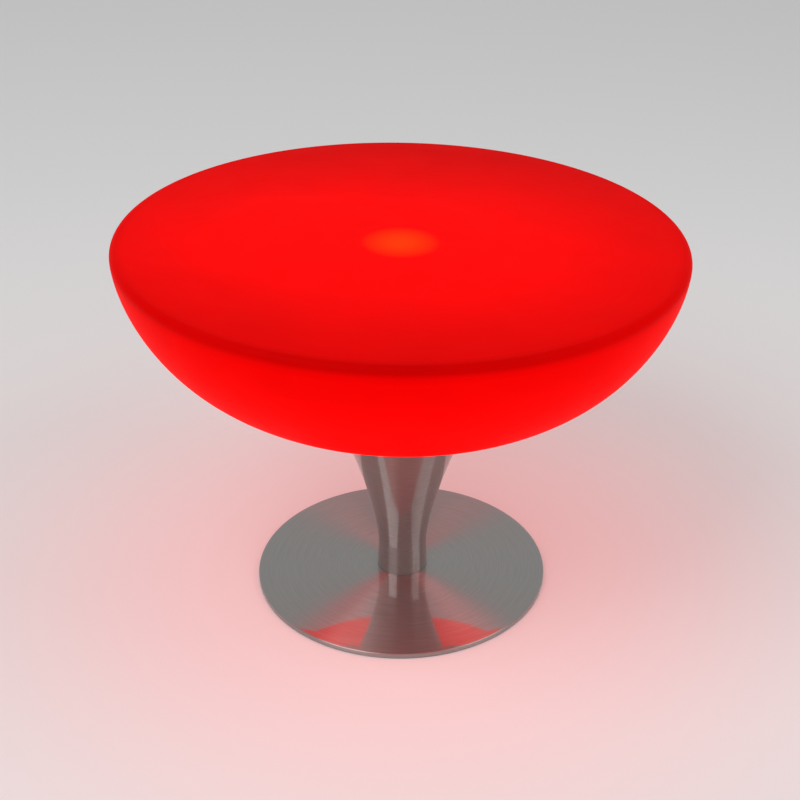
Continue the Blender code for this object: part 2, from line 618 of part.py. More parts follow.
def make_lamp(looks):
    """The can on the flange, with the LEDs and their dome on its lid."""
    group = frame("lamp_frame", (0, 0, TRAY_BOTTOM))
    inside = TRAY_RADIUS - TRAY_WALL
    outline = [(ROD_BORE, 0), (TRAY_RADIUS, 0), (TRAY_RADIUS, TRAY_HEIGHT), (inside, TRAY_HEIGHT)]
    outline += [(inside, TRAY_FLOOR), (ROD_BORE, TRAY_FLOOR)]
    tray = piece("light_tray", revolve(outline, DISC_SIDES), looks["aluminium"], group)
    posts = circle_places(POST_CIRCLE, LID_SCREW_COUNT)
    post = drum(POST_RADIUS, TRAY_FLOOR / 2, TRAY_HEIGHT)
    join(tray, piece("tray_posts", revolve(post, SCREW_SIDES, posts), parent=group))
    standoff = drum(STANDOFF_RADIUS, TRAY_FLOOR / 2, TRAY_FLOOR + STANDOFF_HEIGHT)
    join(tray, piece("tray_standoffs", revolve(standoff, SCREW_SIDES, controller_places()), parent=group))
    drilled = drum(LID_SCREW_RADIUS + GAP, TRAY_HEIGHT - LID_SCREW_LENGTH, TRAY_HEIGHT + OVERRUN)
    cut(tray, piece("tray_post_holes", revolve(drilled, SCREW_SIDES, posts), parent=group))
    mouth = drum(GROMMET_RADIUS - GROMMET_LIP + GAP, -GROMMET_RADIUS, GROMMET_RADIUS)
    grommet_at = (0, TRAY_RADIUS - TRAY_WALL / 2, TRAY_FLOOR + GROMMET_HEIGHT)
    quarter = (-math.pi / 2, 0, 0)
    cut(tray, piece("grommet_hole", revolve(mouth, SMALL_SIDES), parent=group, at=grommet_at, turn=quarter))

    neck, lip = GROMMET_RADIUS - GROMMET_LIP, GROMMET_RADIUS
    half_groove = TRAY_WALL / 2 + 3 * GAP
    half_grommet = half_groove + GROMMET_LIP
    ring = [(LEAD_RADIUS + GAP, -half_grommet), (lip, -half_grommet), (lip, -half_groove), (neck, -half_groove)]
    ring += [(neck, half_groove), (lip, half_groove), (lip, half_grommet), (LEAD_RADIUS + GAP, half_grommet)]
    piece("lead_grommet", revolve(ring, SMALL_SIDES), looks["rubber"], group, grommet_at, quarter)

    lid_group = frame("lid_frame", (0, 0, LID_BOTTOM))
    lip_outer = inside - GAP
    lip_inner = lip_outer - LID_LIP_WALL
    bead_inner = DOME_RADIUS + DOME_FLANGE_WIDTH + GAP
    bead_outer = bead_inner + DOME_BEAD_WIDTH
    bead_top = LID_THICKNESS + DOME_BEAD_HEIGHT
    outline = [(0, 0), (lip_inner, 0), (lip_inner, -LID_LIP_HEIGHT), (lip_outer, -LID_LIP_HEIGHT)]
    outline += [(lip_outer, 0), (TRAY_RADIUS, 0), (TRAY_RADIUS, LID_THICKNESS), (bead_outer, LID_THICKNESS)]
    outline += [(bead_outer, bead_top), (bead_inner, bead_top), (bead_inner, LID_THICKNESS), (0, LID_THICKNESS)]
    lid = piece("tray_lid", revolve(outline, DISC_SIDES), looks["aluminium"], lid_group)
    notch = drum(POST_RADIUS + 2 * GAP, -LID_LIP_HEIGHT - OVERRUN, GAP)
    cut(lid, piece("lid_lip_notches", revolve(notch, SCREW_SIDES, posts), parent=lid_group))
    drilled = drum(LID_SCREW_RADIUS + GAP, -OVERRUN, LID_THICKNESS + OVERRUN)
    cut(lid, piece("lid_screw_holes", revolve(drilled, SCREW_SIDES, posts), parent=lid_group))
    lead_hole = drum(LEAD_HOLE_RADIUS, -OVERRUN, LID_THICKNESS + OVERRUN)
    cut(lid, piece("lid_lead_hole", revolve(lead_hole, SCREW_SIDES, [led_lead_place()]), parent=lid_group))
    head = (LID_SCREW_HEAD_RADIUS, LID_SCREW_HEAD_HEIGHT)
    for number, (x, y, _) in enumerate(posts, 1):
        at = (x, y, LID_THICKNESS + GAP)
        screw(f"lid_screw_{number}", head, LID_SCREW_RADIUS, LID_SCREW_LENGTH, looks["steel"], lid_group, at)

    board_at = (0, 0, BOARD_BOTTOM)
    board_outline = drum(BOARD_RADIUS, 0, BOARD_THICKNESS)
    board = piece("led_board", revolve(board_outline, DISC_SIDES), looks["white_board"], at=board_at)
    places = [(0, 0)]
    for radius, count in LED_RINGS:
        places += [(x, y) for x, y, _ in circle_places(radius, count)]
    package = rectangle(LED_SIZE, LED_SIZE)
    leds = extrude(package, BOARD_THICKNESS / 2, BOARD_THICKNESS + LED_HEIGHT, places)
    join(board, piece("led_packages", leds, at=board_at))

    flange_outer = DOME_RADIUS + DOME_FLANGE_WIDTH
    inner_radius = DOME_RADIUS - DOME_WALL
    crown = DOME_HEIGHT - DOME_SKIRT
    outline = [(inner_radius, 0), (flange_outer, 0), (flange_outer, DOME_FLANGE_THICKNESS)]
    outline += [(DOME_RADIUS, DOME_FLANGE_THICKNESS)]
    angles = np.linspace(0, math.pi / 2, DOME_STEPS + 1)
    outline += [(DOME_RADIUS * math.cos(a), DOME_SKIRT + crown * math.sin(a)) for a in angles[:-1]]
    outline.append((0, DOME_HEIGHT))
    inside_crown = crown - DOME_WALL
    outline.append((0, DOME_SKIRT + inside_crown))
    outline += [(inner_radius * math.cos(a), DOME_SKIRT + inside_crown * math.sin(a)) for a in angles[-2::-1]]
    piece("diffuser_dome", revolve(outline, DISC_SIDES), looks["opal"], at=board_at)


def led_lead_place():
    """Where the LED lead passes the lid, under the edge of the LED board."""
    return (BOARD_RADIUS / 2, BOARD_RADIUS / 2, 0)


def make_electronics(looks):
    """Battery with its clamp, and the controller board."""
    group = frame("electronics_frame", (0, 0, TRAY_INSIDE))
    side = 4 * CELL_RADIUS
    pack = rectangle(side, side, CELL_RADIUS, (0, CELL_RADIUS * 2))
    sideways = (math.pi / 2, 0, math.pi / 2)
    at = (-CELL_LENGTH / 2, -BATTERY_OFFSET, GAP)
    piece("battery_pack", extrude(pack, 0, CELL_LENGTH), looks["wrap"], group, at, sideways)

    inner = side / 2 + GAP
    outer = inner + CLAMP_THICKNESS
    roof = side + 2 * GAP
    foot = outer + CLAMP_FOOT
    outline = [(-foot, GAP), (-inner, GAP), (-inner, roof), (inner, roof), (inner, GAP), (foot, GAP)]
    foot_top, roof_top = GAP + CLAMP_THICKNESS, roof + CLAMP_THICKNESS
    outline += [(foot, foot_top), (outer, foot_top), (outer, roof_top)]
    outline += [(-outer, roof_top), (-outer, foot_top), (-foot, foot_top)]
    at = (-CLAMP_WIDTH / 2, -BATTERY_OFFSET, 0)
    piece("battery_clamp", extrude(outline, 0, CLAMP_WIDTH), looks["steel"], group, at, sideways)

    board_low = STANDOFF_HEIGHT + GAP
    board_top = board_low + CONTROLLER_THICKNESS
    plate = rectangle(CONTROLLER_WIDTH, CONTROLLER_DEPTH, middle=(0, CONTROLLER_OFFSET))
    board = piece("controller_board", extrude(plate, board_low, board_top), looks["board"], group)
    inside = board_top - CONTROLLER_THICKNESS / 2
    quarter_width, quarter_depth = CONTROLLER_WIDTH / 4, CONTROLLER_DEPTH / 4
    coil = drum(COIL_RADIUS, inside, board_top + COIL_HEIGHT)
    coil_place = [(-quarter_width, CONTROLLER_OFFSET - quarter_depth / 2, 0)]
    join(board, piece("controller_coil", revolve(coil, SMALL_SIDES, coil_place), parent=group))
    can = drum(CAPACITOR_RADIUS, inside, board_top + CAPACITOR_HEIGHT)
    can_places = [(x, CONTROLLER_OFFSET + quarter_depth, 0) for x in (-quarter_width, 0)]
    join(board, piece("controller_capacitors", revolve(can, SCREW_SIDES, can_places), parent=group))
    chip = rectangle(CHIP_SIZE, CHIP_SIZE)
    chip_places = [(0, CONTROLLER_OFFSET - quarter_depth / 2)]
    chips = extrude(chip, inside, board_top + CHIP_HEIGHT, chip_places)
    join(board, piece("controller_chip", chips, parent=group))
    plugs = extrude(rectangle(PLUG_WIDTH, PLUG_DEPTH), inside, board_top + PLUG_HEIGHT, plug_places())
    join(board, piece("controller_plugs", plugs, parent=group))


def plug_places():
    """The middles of the controller's three plugs: battery, LEDs and panel."""
    quarter_width = CONTROLLER_WIDTH / 4
    front = CONTROLLER_OFFSET - CONTROLLER_DEPTH / 2 + PLUG_DEPTH
    back = CONTROLLER_OFFSET + CONTROLLER_DEPTH / 2 - PLUG_DEPTH
    return [(-quarter_width / 2, front), (quarter_width, CONTROLLER_OFFSET), (quarter_width, back)]


def panel_screw_places():
    return [(-PANEL_SCREW_OFFSET, 0, 0), (PANEL_SCREW_OFFSET, 0, 0)]


def panel_matrix():
    """The control panel's placement: on the bowl's outside at the back, with Z out of the bowl."""
    angle = math.acos((PANEL_RADIUS / TOP_RADIUS) ** (1 / BOWL_RADIUS_POWER_SHARE))
    radius, height = bowl_side(angle)
    along = bowl_side_slope(angle)
    tilt = math.atan2(-along[1], -along[0])
    reach, drop = PAD_PROUD * math.sin(tilt), PAD_PROUD * math.cos(tilt)
    return Matrix.Translation((0, radius + reach, height - drop)) @ Matrix.Rotation(math.pi + tilt, 4, "X")


def make_panel(looks, panel):
    """The panel under the bowl with its gasket, screws, button, switch, socket and cap."""
    flange = rectangle(PANEL_WIDTH, PANEL_HEIGHT, PANEL_CORNER)
    plate = piece("control_panel", extrude(flange, PANEL_BACK, PANEL_FACE), looks["plastic"], panel)
    body = rectangle(PANEL_BODY_WIDTH, PANEL_BODY_HEIGHT, PANEL_BODY_CORNER)
    inside_plate = PANEL_FACE - PANEL_FLANGE / 2
    join(plate, piece("panel_body", extrude(body, PANEL_BODY_END, inside_plate), parent=panel))
    ear_middle = CAP_KNUCKLE_LENGTH / 2 + GAP + EAR_THICKNESS / 2
    for side in (-1, 1):
        x = CONTROL_OFFSET + side * ear_middle
        solid = rectangle(EAR_THICKNESS, 2 * CAP_KNUCKLE_RADIUS, middle=(x, -HINGE_OFFSET))
        ear_top = HINGE_RISE + CAP_KNUCKLE_RADIUS
        name = "left" if side < 0 else "right"
        join(plate, piece(f"cap_ear_{name}", extrude(solid, inside_plate, ear_top), parent=panel))
    along_x = (0, math.pi / 2, 0)
    hinge = (CONTROL_OFFSET, -HINGE_OFFSET, HINGE_RISE)
    pin_half = CAP_KNUCKLE_LENGTH / 2 + GAP + EAR_THICKNESS
    pin_bore = drum(HINGE_PIN_RADIUS + GAP, -pin_half - OVERRUN, pin_half + OVERRUN)
    cut(plate, piece("cap_ear_bore", revolve(pin_bore, SCREW_SIDES), parent=panel, at=hinge, turn=along_x))
    pin = drum(HINGE_PIN_RADIUS, -pin_half, pin_half)
    piece("cap_pin", revolve(pin, SCREW_SIDES), looks["steel"], panel, hinge, along_x)

    collar_seat = PANEL_FACE - BUTTON_STEM_DEPTH
    steps = [(0, PANEL_BODY_END - OVERRUN), (BUTTON_COLLAR_RADIUS + GAP, PANEL_BODY_END - OVERRUN)]
    steps += [(BUTTON_COLLAR_RADIUS + GAP, collar_seat), (BUTTON_RADIUS + GAP, collar_seat)]
    steps += [(BUTTON_RADIUS + GAP, PANEL_FACE + OVERRUN), (0, PANEL_FACE + OVERRUN)]
    button_place = (-CONTROL_OFFSET, 0, 0)
    cut(plate, piece("button_bore", revolve(steps, SMALL_SIDES), parent=panel, at=button_place))
    well_floor = PANEL_FACE - WELL_DEPTH
    steps = [(0, PANEL_BODY_END - OVERRUN), (SOCKET_RADIUS + GAP, PANEL_BODY_END - OVERRUN)]
    steps += [(SOCKET_RADIUS + GAP, well_floor), (WELL_RADIUS, well_floor), (WELL_RADIUS, PANEL_FACE + OVERRUN)]
    steps += [(0, PANEL_FACE + OVERRUN)]
    socket_place = (CONTROL_OFFSET, 0, 0)
    cut(plate, piece("socket_bore", revolve(steps, SMALL_SIDES), parent=panel, at=socket_place))
    drilled = drum(PANEL_SCREW_RADIUS + GAP, 0, PANEL_FACE + OVERRUN)
    cut(plate, piece("panel_flange_holes", revolve(drilled, SCREW_SIDES, panel_screw_places()), parent=panel))

    skirt = rectangle(PANEL_WIDTH, PANEL_HEIGHT, PANEL_CORNER)
    gasket = piece("panel_gasket", extrude(skirt, GAP, GAP + PANEL_GASKET), looks["rubber"], panel)
    window = rectangle(PANEL_BODY_WIDTH + 2 * GAP, PANEL_BODY_HEIGHT + 2 * GAP, PANEL_BODY_CORNER + GAP)
    cut(gasket, piece("gasket_window", extrude(window, -OVERRUN, OVERRUN + PANEL_GASKET), parent=panel))
    drilled = drum(PANEL_SCREW_RADIUS + GAP, -OVERRUN, PANEL_GASKET + OVERRUN)
    cut(gasket, piece("gasket_screw_holes", revolve(drilled, SCREW_SIDES, panel_screw_places()), parent=panel))
    head = (PANEL_SCREW_HEAD_RADIUS, PANEL_SCREW_HEAD_HEIGHT)
    for number, (x, y, _) in enumerate(panel_screw_places(), 1):
        at = (x, y, PANEL_FACE + GAP)
        screw(f"panel_screw_{number}", head, PANEL_SCREW_RADIUS, PANEL_SCREW_LENGTH, looks["steel"], panel, at)

    make_button(looks, panel, collar_seat)
    make_socket(looks, panel, well_floor)
    make_cap(looks, panel)


def make_button(looks, panel, collar_seat):
    """The push button, with its origin on its own axis, and the switch that it presses."""
    axis = frame("button_axis", (-CONTROL_OFFSET, 0, 0), parent=panel)
    collar_top = collar_seat - GAP
    collar_low = collar_top - BUTTON_COLLAR_THICKNESS
    face = PANEL_FACE + BUTTON_PROUD
    outline = [(0, collar_low), (BUTTON_COLLAR_RADIUS, collar_low), (BUTTON_COLLAR_RADIUS, collar_top)]
    outline += [(BUTTON_RADIUS, collar_top), (BUTTON_RADIUS, face - BUTTON_EDGE)]
    outline += [(BUTTON_RADIUS - BUTTON_EDGE, face), (0, face)]
    piece("power_button", revolve(outline, SMALL_SIDES), looks["plastic"], axis)

    block_top = PANEL_BODY_END - GAP
    body = rectangle(SWITCH_SIZE, SWITCH_SIZE)
    block = piece("switch_block", extrude(body, block_top - SWITCH_DEPTH, block_top), looks["plastic"], axis)
    plunger_top = collar_low - BUTTON_TRAVEL - GAP
    plunger = drum(PLUNGER_RADIUS, block_top - SWITCH_DEPTH / 2, plunger_top)
    join(block, piece("switch_plunger", revolve(plunger, SCREW_SIDES), parent=axis))


def make_socket(looks, panel, well_floor):
    """The round charging socket, let into the bottom of the panel's well from behind."""
    face = well_floor
    flange_top = PANEL_BODY_END - GAP
    flange_low = flange_top - SOCKET_FLANGE_THICKNESS
    bore_floor = face - SOCKET_BORE_DEPTH
    outline = [(0, flange_low), (SOCKET_FLANGE_RADIUS, flange_low), (SOCKET_FLANGE_RADIUS, flange_top)]
    outline += [(SOCKET_RADIUS, flange_top), (SOCKET_RADIUS, face), (SOCKET_BORE_RADIUS, face)]
    outline += [(SOCKET_BORE_RADIUS, bore_floor), (SOCKET_PIN_RADIUS, bore_floor)]
    outline += [(SOCKET_PIN_RADIUS, face - SOCKET_PIN_RADIUS), (0, face - SOCKET_PIN_RADIUS)]
    piece("charge_socket", revolve(outline, SMALL_SIDES), looks["plastic"], panel, (CONTROL_OFFSET, 0, 0))


def make_cap(looks, panel):
    """The socket's cap, with its origin on its hinge: a lid with a lip, a finger tab and a knuckle."""
    axis = frame("cap_axis", (CONTROL_OFFSET, -HINGE_OFFSET, HINGE_RISE), parent=panel)
    under = PANEL_FACE + GAP - HINGE_RISE
    lid_top = under + CAP_THICKNESS
    middle = (0, HINGE_OFFSET)
    length = CAP_RADIUS + CAP_TAB
    arc = [(x, y + HINGE_OFFSET) for x, y, _ in circle_places(CAP_RADIUS, SMALL_SIDES)]
    lid = piece("charge_cap", extrude(arc, under, lid_top), looks["rubber"], axis)
    tab = rectangle(CAP_RADIUS, length, CAP_TAB / 2, (0, middle[1] + length / 2))
    join(lid, piece("cap_tab", extrude(tab, under, lid_top), parent=axis))
    strap = rectangle(CAP_KNUCKLE_LENGTH, HINGE_OFFSET, middle=(0, HINGE_OFFSET / 2))
    join(lid, piece("cap_strap", extrude(strap, under, lid_top), parent=axis))
    lip = drum(CAP_LIP_RADIUS, under - GAP - CAP_LIP_DEPTH, under + CAP_THICKNESS / 2)
    join(lid, piece("cap_lip", revolve(lip, SMALL_SIDES), parent=axis, at=(0, HINGE_OFFSET, 0)))
    along_x = (0, math.pi / 2, 0)
    half = CAP_KNUCKLE_LENGTH / 2
    knuckle = drum(CAP_KNUCKLE_RADIUS, -half, half)
    join(lid, piece("cap_knuckle", revolve(knuckle, SMALL_SIDES), parent=axis, turn=along_x))
    bore = drum(HINGE_PIN_RADIUS + GAP, -half - OVERRUN, half + OVERRUN)
    cut(lid, piece("cap_bore", revolve(bore, SCREW_SIDES), parent=axis, turn=along_x))


def make_leads(looks, placed):
    """The leads between battery, controller, LEDs and panel, the panel placed by its matrix."""
    floor = TRAY_INSIDE
    plug_top = floor + STANDOFF_HEIGHT + GAP + CONTROLLER_THICKNESS + PLUG_HEIGHT
    battery_plug, led_plug, panel_plug = plug_places()
    start = plug_top + GAP
    over = start + LEAD_BEND

    led_x, led_y, _ = led_lead_place()
    end = BOARD_BOTTOM - GAP
    route = [(*led_plug, start), (*led_plug, over), (led_x, led_y, end - LEAD_BEND), (led_x, led_y, end)]
    lead("led_lead", route, looks["lead"])

    pack_end = -CELL_LENGTH / 2 - GAP
    pack_middle = floor + GAP + 2 * CELL_RADIUS
    beyond = pack_end - LEAD_BEND
    route = [(pack_end, -BATTERY_OFFSET, pack_middle), (beyond, -BATTERY_OFFSET, pack_middle)]
    route += [(beyond, -BATTERY_OFFSET / 2, pack_middle), (pack_end, 0, over), (*battery_plug, over)]
    route += [(*battery_plug, start)]
    lead("battery_lead", route, looks["lead"])

    mouth = floor + GROMMET_HEIGHT
    wall = TRAY_RADIUS - TRAY_WALL / 2
    block_back = PANEL_BODY_END - GAP - SWITCH_DEPTH - GAP
    entry = placed @ Vector((-CONTROL_OFFSET, 0, block_back))
    above = placed @ Vector((-CONTROL_OFFSET, 0, block_back - LEAD_BEND))
    route = [(*panel_plug, start), (*panel_plug, over)]
    route += [(0, wall + reach * GROMMET_RADIUS, mouth) for reach in (-1.5, -0.5, 0.5, 1.5)]
    route += [tuple(above), tuple(entry)]
    lead("panel_lead", route, looks["lead"])


def main():
    for old in list(bpy.data.objects):
        bpy.data.objects.remove(old, do_unlink=True)
    looks = make_finishes()
    placed = panel_matrix()
    panel = frame("panel_frame", placed.to_translation(), placed.to_euler())
    make_base(looks)
    make_column(looks)
    make_bowl(looks, panel)
    make_lamp(looks)
    make_electronics(looks)
    make_panel(looks, panel)
    make_leads(looks, placed)


main()
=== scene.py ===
"""Looks for the lit lounge table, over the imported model. Metres, +Z up, the table's back towards +Y."""

import json
import math
from collections import namedtuple

import bpy
from mathutils import Matrix, Vector


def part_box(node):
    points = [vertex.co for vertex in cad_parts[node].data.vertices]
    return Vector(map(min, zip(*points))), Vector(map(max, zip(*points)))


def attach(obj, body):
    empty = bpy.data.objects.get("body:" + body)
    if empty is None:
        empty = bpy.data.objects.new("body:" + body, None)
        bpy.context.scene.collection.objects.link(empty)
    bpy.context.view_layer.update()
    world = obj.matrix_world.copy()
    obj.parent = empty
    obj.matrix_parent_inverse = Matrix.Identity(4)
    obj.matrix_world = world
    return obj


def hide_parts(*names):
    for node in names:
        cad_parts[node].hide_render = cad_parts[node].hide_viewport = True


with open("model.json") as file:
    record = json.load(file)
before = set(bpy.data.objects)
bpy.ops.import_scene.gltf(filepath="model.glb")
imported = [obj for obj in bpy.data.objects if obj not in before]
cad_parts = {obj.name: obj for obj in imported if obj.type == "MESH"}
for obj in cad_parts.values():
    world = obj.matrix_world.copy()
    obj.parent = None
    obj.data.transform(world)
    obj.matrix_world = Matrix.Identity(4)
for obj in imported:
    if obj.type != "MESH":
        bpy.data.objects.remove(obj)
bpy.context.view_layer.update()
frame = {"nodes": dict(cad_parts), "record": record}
nodes = frame["nodes"]

MM = 0.001
GAP = 0.3 * MM  # between pieces that touch
OVERRUN = 1 * MM  # how far a cut runs past the face that it opens
ON_AXIS = 1e-9  # a point nearer to the axis than this is on it

# How many sides go round a piece, from the widest down
BOWL_SIDES = 192
DISC_SIDES = 160
CONTROL_SIDES = 64
SOCKET_SIDES = 48
KNUCKLE_SIDES = 40
SCREW_SIDES = 36
HOLE_SIDES = 32
SMALL_HOLE_SIDES = 24

# Bowl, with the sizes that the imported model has. Heights are read from its nodes
TOP_RADIUS = 0.400
BOWL_EDGE_ROUND = 0.010
BOWL_SIDE_DEPTH = 0.228  # of the whole curve that the side follows, which ends under the seat
BOWL_RADIUS_POWER = 0.594
BOWL_DEPTH_POWER = 1.255
BOWL_WALL = 0.005
BOWL_SEAT_RADIUS = 0.152
BOWL_OPENING_RADIUS = 0.104
BOSS_RADIUS = 9 * MM
BOSS_HEIGHT = 16 * MM
INSERT_RADIUS = 5 * MM
INSERT_LENGTH = 12 * MM
TABLE_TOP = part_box("bowl_shell")[1].z
BOWL_RIM = TABLE_TOP - BOWL_EDGE_ROUND
BOWL_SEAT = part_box("bowl_shell")[0].z
SEAT_ANGLE = math.acos((BOWL_SEAT_RADIUS / TOP_RADIUS) ** (1 / BOWL_RADIUS_POWER))

# Screws: the key is the width of the hexagon socket
Screw = namedtuple("Screw", "radius head_radius head_height key")
BOLT = Screw(radius=3 * MM, head_radius=5.5 * MM, head_height=3.3 * MM, key=4 * MM)
HUB_SCREW = Screw(radius=3 * MM, head_radius=6 * MM, head_height=3 * MM, key=4 * MM)
PANEL_SCREW = Screw(radius=1.6 * MM, head_radius=3 * MM, head_height=1.6 * MM, key=2 * MM)
PANEL_SCREW_LENGTH = 9 * MM
BOLT_CIRCLE = 0.134
BOLT_COUNT = 6
HUB_SCREW_CIRCLE = 25 * MM
HUB_SCREW_COUNT = 4
HEAD_ROUNDING = 0.45  # of the head's height

# Column, base and neck
COLUMN_NECK_RADIUS = 37.5 * MM
COLUMN_TOP_RADIUS = 122 * MM
COLUMN_WALL = 2 * MM
COLUMN_FOOT_HEIGHT = 48 * MM
COLUMN_FOOT_FLARE = 1.3 * MM
COLUMN_FLARE_POWER = 1.45
COLUMN_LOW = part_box("column_shell")[0].z
COLUMN_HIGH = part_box("column_shell")[1].z
BASE_RADIUS = 0.225
BASE_EDGE_HEIGHT = 8 * MM
BASE_CROWN = 4 * MM
COVER_SEAT_RADIUS = 46 * MM  # of the cover's flat middle, where the column stands
COVER_WALL = 1.5 * MM
COVER_EDGE_ROUND = 2 * MM
COVER_TOP = BASE_EDGE_HEIGHT + BASE_CROWN
SKIRT_LIFT = 1 * MM  # the skirt and the ballast clear the floor by this
BALLAST_CHAMFER = 1 * MM
FLOOR_RING_WIDTH = 14 * MM
FLOOR_RING_EASING = 0.6 * MM
FLANGE_RADIUS = 150 * MM
FLANGE_THICKNESS = 4 * MM
FLANGE_EASING = 0.8 * MM
FLANGE_RING_HEIGHT = 6 * MM
FLANGE_RING_WALL = 4 * MM
ROD_BORE = 6.3 * MM
GASKET_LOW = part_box("neck_gasket")[0].z
GASKET_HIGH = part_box("neck_gasket")[1].z
GASKET_INNER_RADIUS = 124.5 * MM
GASKET_OUTER_RADIUS = 148.5 * MM
GASKET_LIP = 0.5 * MM  # from the outer radius in to the middle of the round edge
FLANGE_HIGH = GASKET_LOW - GAP
FLANGE_LOW = FLANGE_HIGH - FLANGE_THICKNESS

# Control panel, in its own frame: X across the table, Z out of the bowl
PANEL_RADIUS = 0.192  # of its middle from the table's axis
PAD_PROUD = 0.8 * MM  # how far the bowl's pad stands out of its side
PAD_DEPTH = 8.5 * MM
PAD_MARGIN = 2 * MM  # how far the pad reaches past the panel
PANEL_WIDTH = 80 * MM
PANEL_HEIGHT = 46 * MM
PANEL_CORNER = 8 * MM
PANEL_EASING = 0.8 * MM
BODY_WIDTH = 62 * MM
BODY_HEIGHT = 32 * MM
BODY_CORNER = 3 * MM
BODY_DEPTH = 19 * MM
PANEL_GASKET = 1 * MM
PANEL_GASKET_EASING = 0.2 * MM
PANEL_FLANGE = 2.5 * MM
PANEL_BACK = GAP + PANEL_GASKET + GAP
PANEL_FACE = PANEL_BACK + PANEL_FLANGE
PANEL_SCREW_PLACES = [(-35.5 * MM, 0), (35.5 * MM, 0)]
CONTROL_OFFSET = 16.5 * MM  # of the button to one side and the socket to the other
BORE_CHAMFER = 0.5 * MM

# Button
BUTTON_RADIUS = 8 * MM
BUTTON_STEM = 8 * MM  # from the panel's face to the collar
BUTTON_PROUD = 1.6 * MM
BUTTON_COLLAR_RADIUS = 9.5 * MM
BUTTON_COLLAR_THICKNESS = 2 * MM
BUTTON_EDGE = 0.8 * MM
BUTTON_DISH = 0.7 * MM  # how deep its face is dished

# Charging socket
WELL_RADIUS = 6.8 * MM
WELL_DEPTH = 9 * MM
SOCKET_RADIUS = 5.5 * MM
SOCKET_FLANGE_RADIUS = 7.5 * MM
SOCKET_FLANGE_THICKNESS = 2 * MM
SOCKET_BORE_RADIUS = 3.2 * MM
SOCKET_BORE_DEPTH = 9 * MM
SOCKET_MOUTH = 0.4 * MM  # chamfer at the bore's mouth
SOCKET_PIN_RADIUS = 1 * MM
SOCKET_PIN_DEPTH = 1 * MM  # of the pin's tip under the socket's face

# The socket's cap and its hinge
CAP_RADIUS = 8.8 * MM
CAP_THICKNESS = 1.6 * MM
CAP_EASING = 0.35 * MM
CAP_LIP_RADIUS = 6 * MM
CAP_LIP_DEPTH = 1.4 * MM  # how far the lip reaches into the well
CAP_TAB_WIDTH = 8.8 * MM
CAP_TAB_LENGTH = 11 * MM
CAP_TAB_CORNER = 1.1 * MM
CAP_STRAP_CORNER = 0.2 * MM
KNUCKLE_RADIUS = 2 * MM
KNUCKLE_LENGTH = 10 * MM
EAR_THICKNESS = 2.5 * MM
HINGE_OFFSET = 12.5 * MM  # from the socket's axis to the pin
HINGE_PIN_RADIUS = 1 * MM
HINGE_RISE = PANEL_FACE + GAP + KNUCKLE_RADIUS  # of the pin in the panel's frame

# The light inside: how strongly the bowl glows, where its warm spot shows on the top, and how the glow lies
# on the top: its middle, its turn in radians and its widths
LAMP_STRENGTH = 2.0
LAMP_SPOT = (-0.006, -0.030, TABLE_TOP)
GLOW_MIDDLE = (-0.030, -0.035, TABLE_TOP)
GLOW_TURN = (0, 0, -0.15)
GLOW_WIDTHS = (TOP_RADIUS / 0.68, TOP_RADIUS, TOP_RADIUS)

# Studio: metres and watts. Each lamp has a name, a place, a power and a size
FLOOR_RADIUS = 20
SKY_STRENGTH = 0.7
STUDIO_LAMPS = (("key", (-1.8, -1.6, 3.2), 42, 2.2), ("fill", (2.2, -0.8, 2.6), 18, 2.0))
LAMPS_POINT_AT = (0, 0, 0.4)

# Camera: pixels, radians and metres
PICTURE_WIDTH = 800
FOCAL_LENGTH = 1370.2
PICTURE_CENTRE = 500
CAMERA_PITCH = 0.5085
CAMERA_YAW = 0.0803
CAMERA_ROLL = 0.0481
CAMERA_PLACE = (0, -1.7826, 1.3033)
SENSOR_WIDTH = 36  # millimetres

UPRIGHT = Matrix.Identity(4)


# Meshes


def shape(name, points, faces, place=UPRIGHT):
    """A mesh object, its points moved by the placement and its faces turned outwards."""
    mesh = bpy.data.meshes.new(name)
    mesh.from_pydata([place @ Vector(point) for point in points], [], faces)
    mesh.calc_loop_triangles()
    volume = 0
    for triangle in mesh.loop_triangles:
        a, b, c = (mesh.vertices[i].co for i in triangle.vertices)
        volume += a.dot(b.cross(c))
    if volume < 0:
        mesh.flip_normals()
    made = bpy.data.objects.new(name, mesh)
    bpy.context.scene.collection.objects.link(made)
    return made


def turned(name, outline, sides, place=UPRIGHT):
    """A closed outline of (radius, height) turned about Z."""
    points, faces, rows = [], [], []
    for radius, height in outline:
        count = 1 if radius < ON_AXIS else sides
        rows.append(range(len(points), len(points) + count))
        for i in range(count):
            angle = math.tau * i / sides
            points.append((radius * math.cos(angle), radius * math.sin(angle), height))
    for row, after in zip(rows, rows[1:] + rows[:1]):
        for i in range(sides):
            corners = [row[i % len(row)], row[(i + 1) % len(row)]]
            corners += [after[(i + 1) % len(after)], after[i % len(after)]]
            corners = list(dict.fromkeys(corners))
            if len(corners) > 2:
                faces.append(corners)
    return shape(name, points, faces, place)


def slab(name, outline, low, high, place=UPRIGHT):
    """A closed outline of (x, y) raised from low to high."""
    count = len(outline)
    points = [(x, y, low) for x, y in outline] + [(x, y, high) for x, y in outline]
    faces = [list(range(count))[::-1], list(range(count, 2 * count))]
    faces += [[i, (i + 1) % count, count + (i + 1) % count, count + i] for i in range(count)]
    return shape(name, points, faces, place)


def drum(radius, low, high):
    return [(0, low), (radius, low), (radius, high), (0, high)]


def drums(name, radius, low, high, places, sides=HOLE_SIDES, base=UPRIGHT):
    """One cylinder for each (x, y) place, in the base placement."""
    return [
        turned(f"{name}_{i}", drum(radius, low, high), sides, base @ Matrix.Translation((x, y, 0)))
        for i, (x, y) in enumerate(places)
    ]


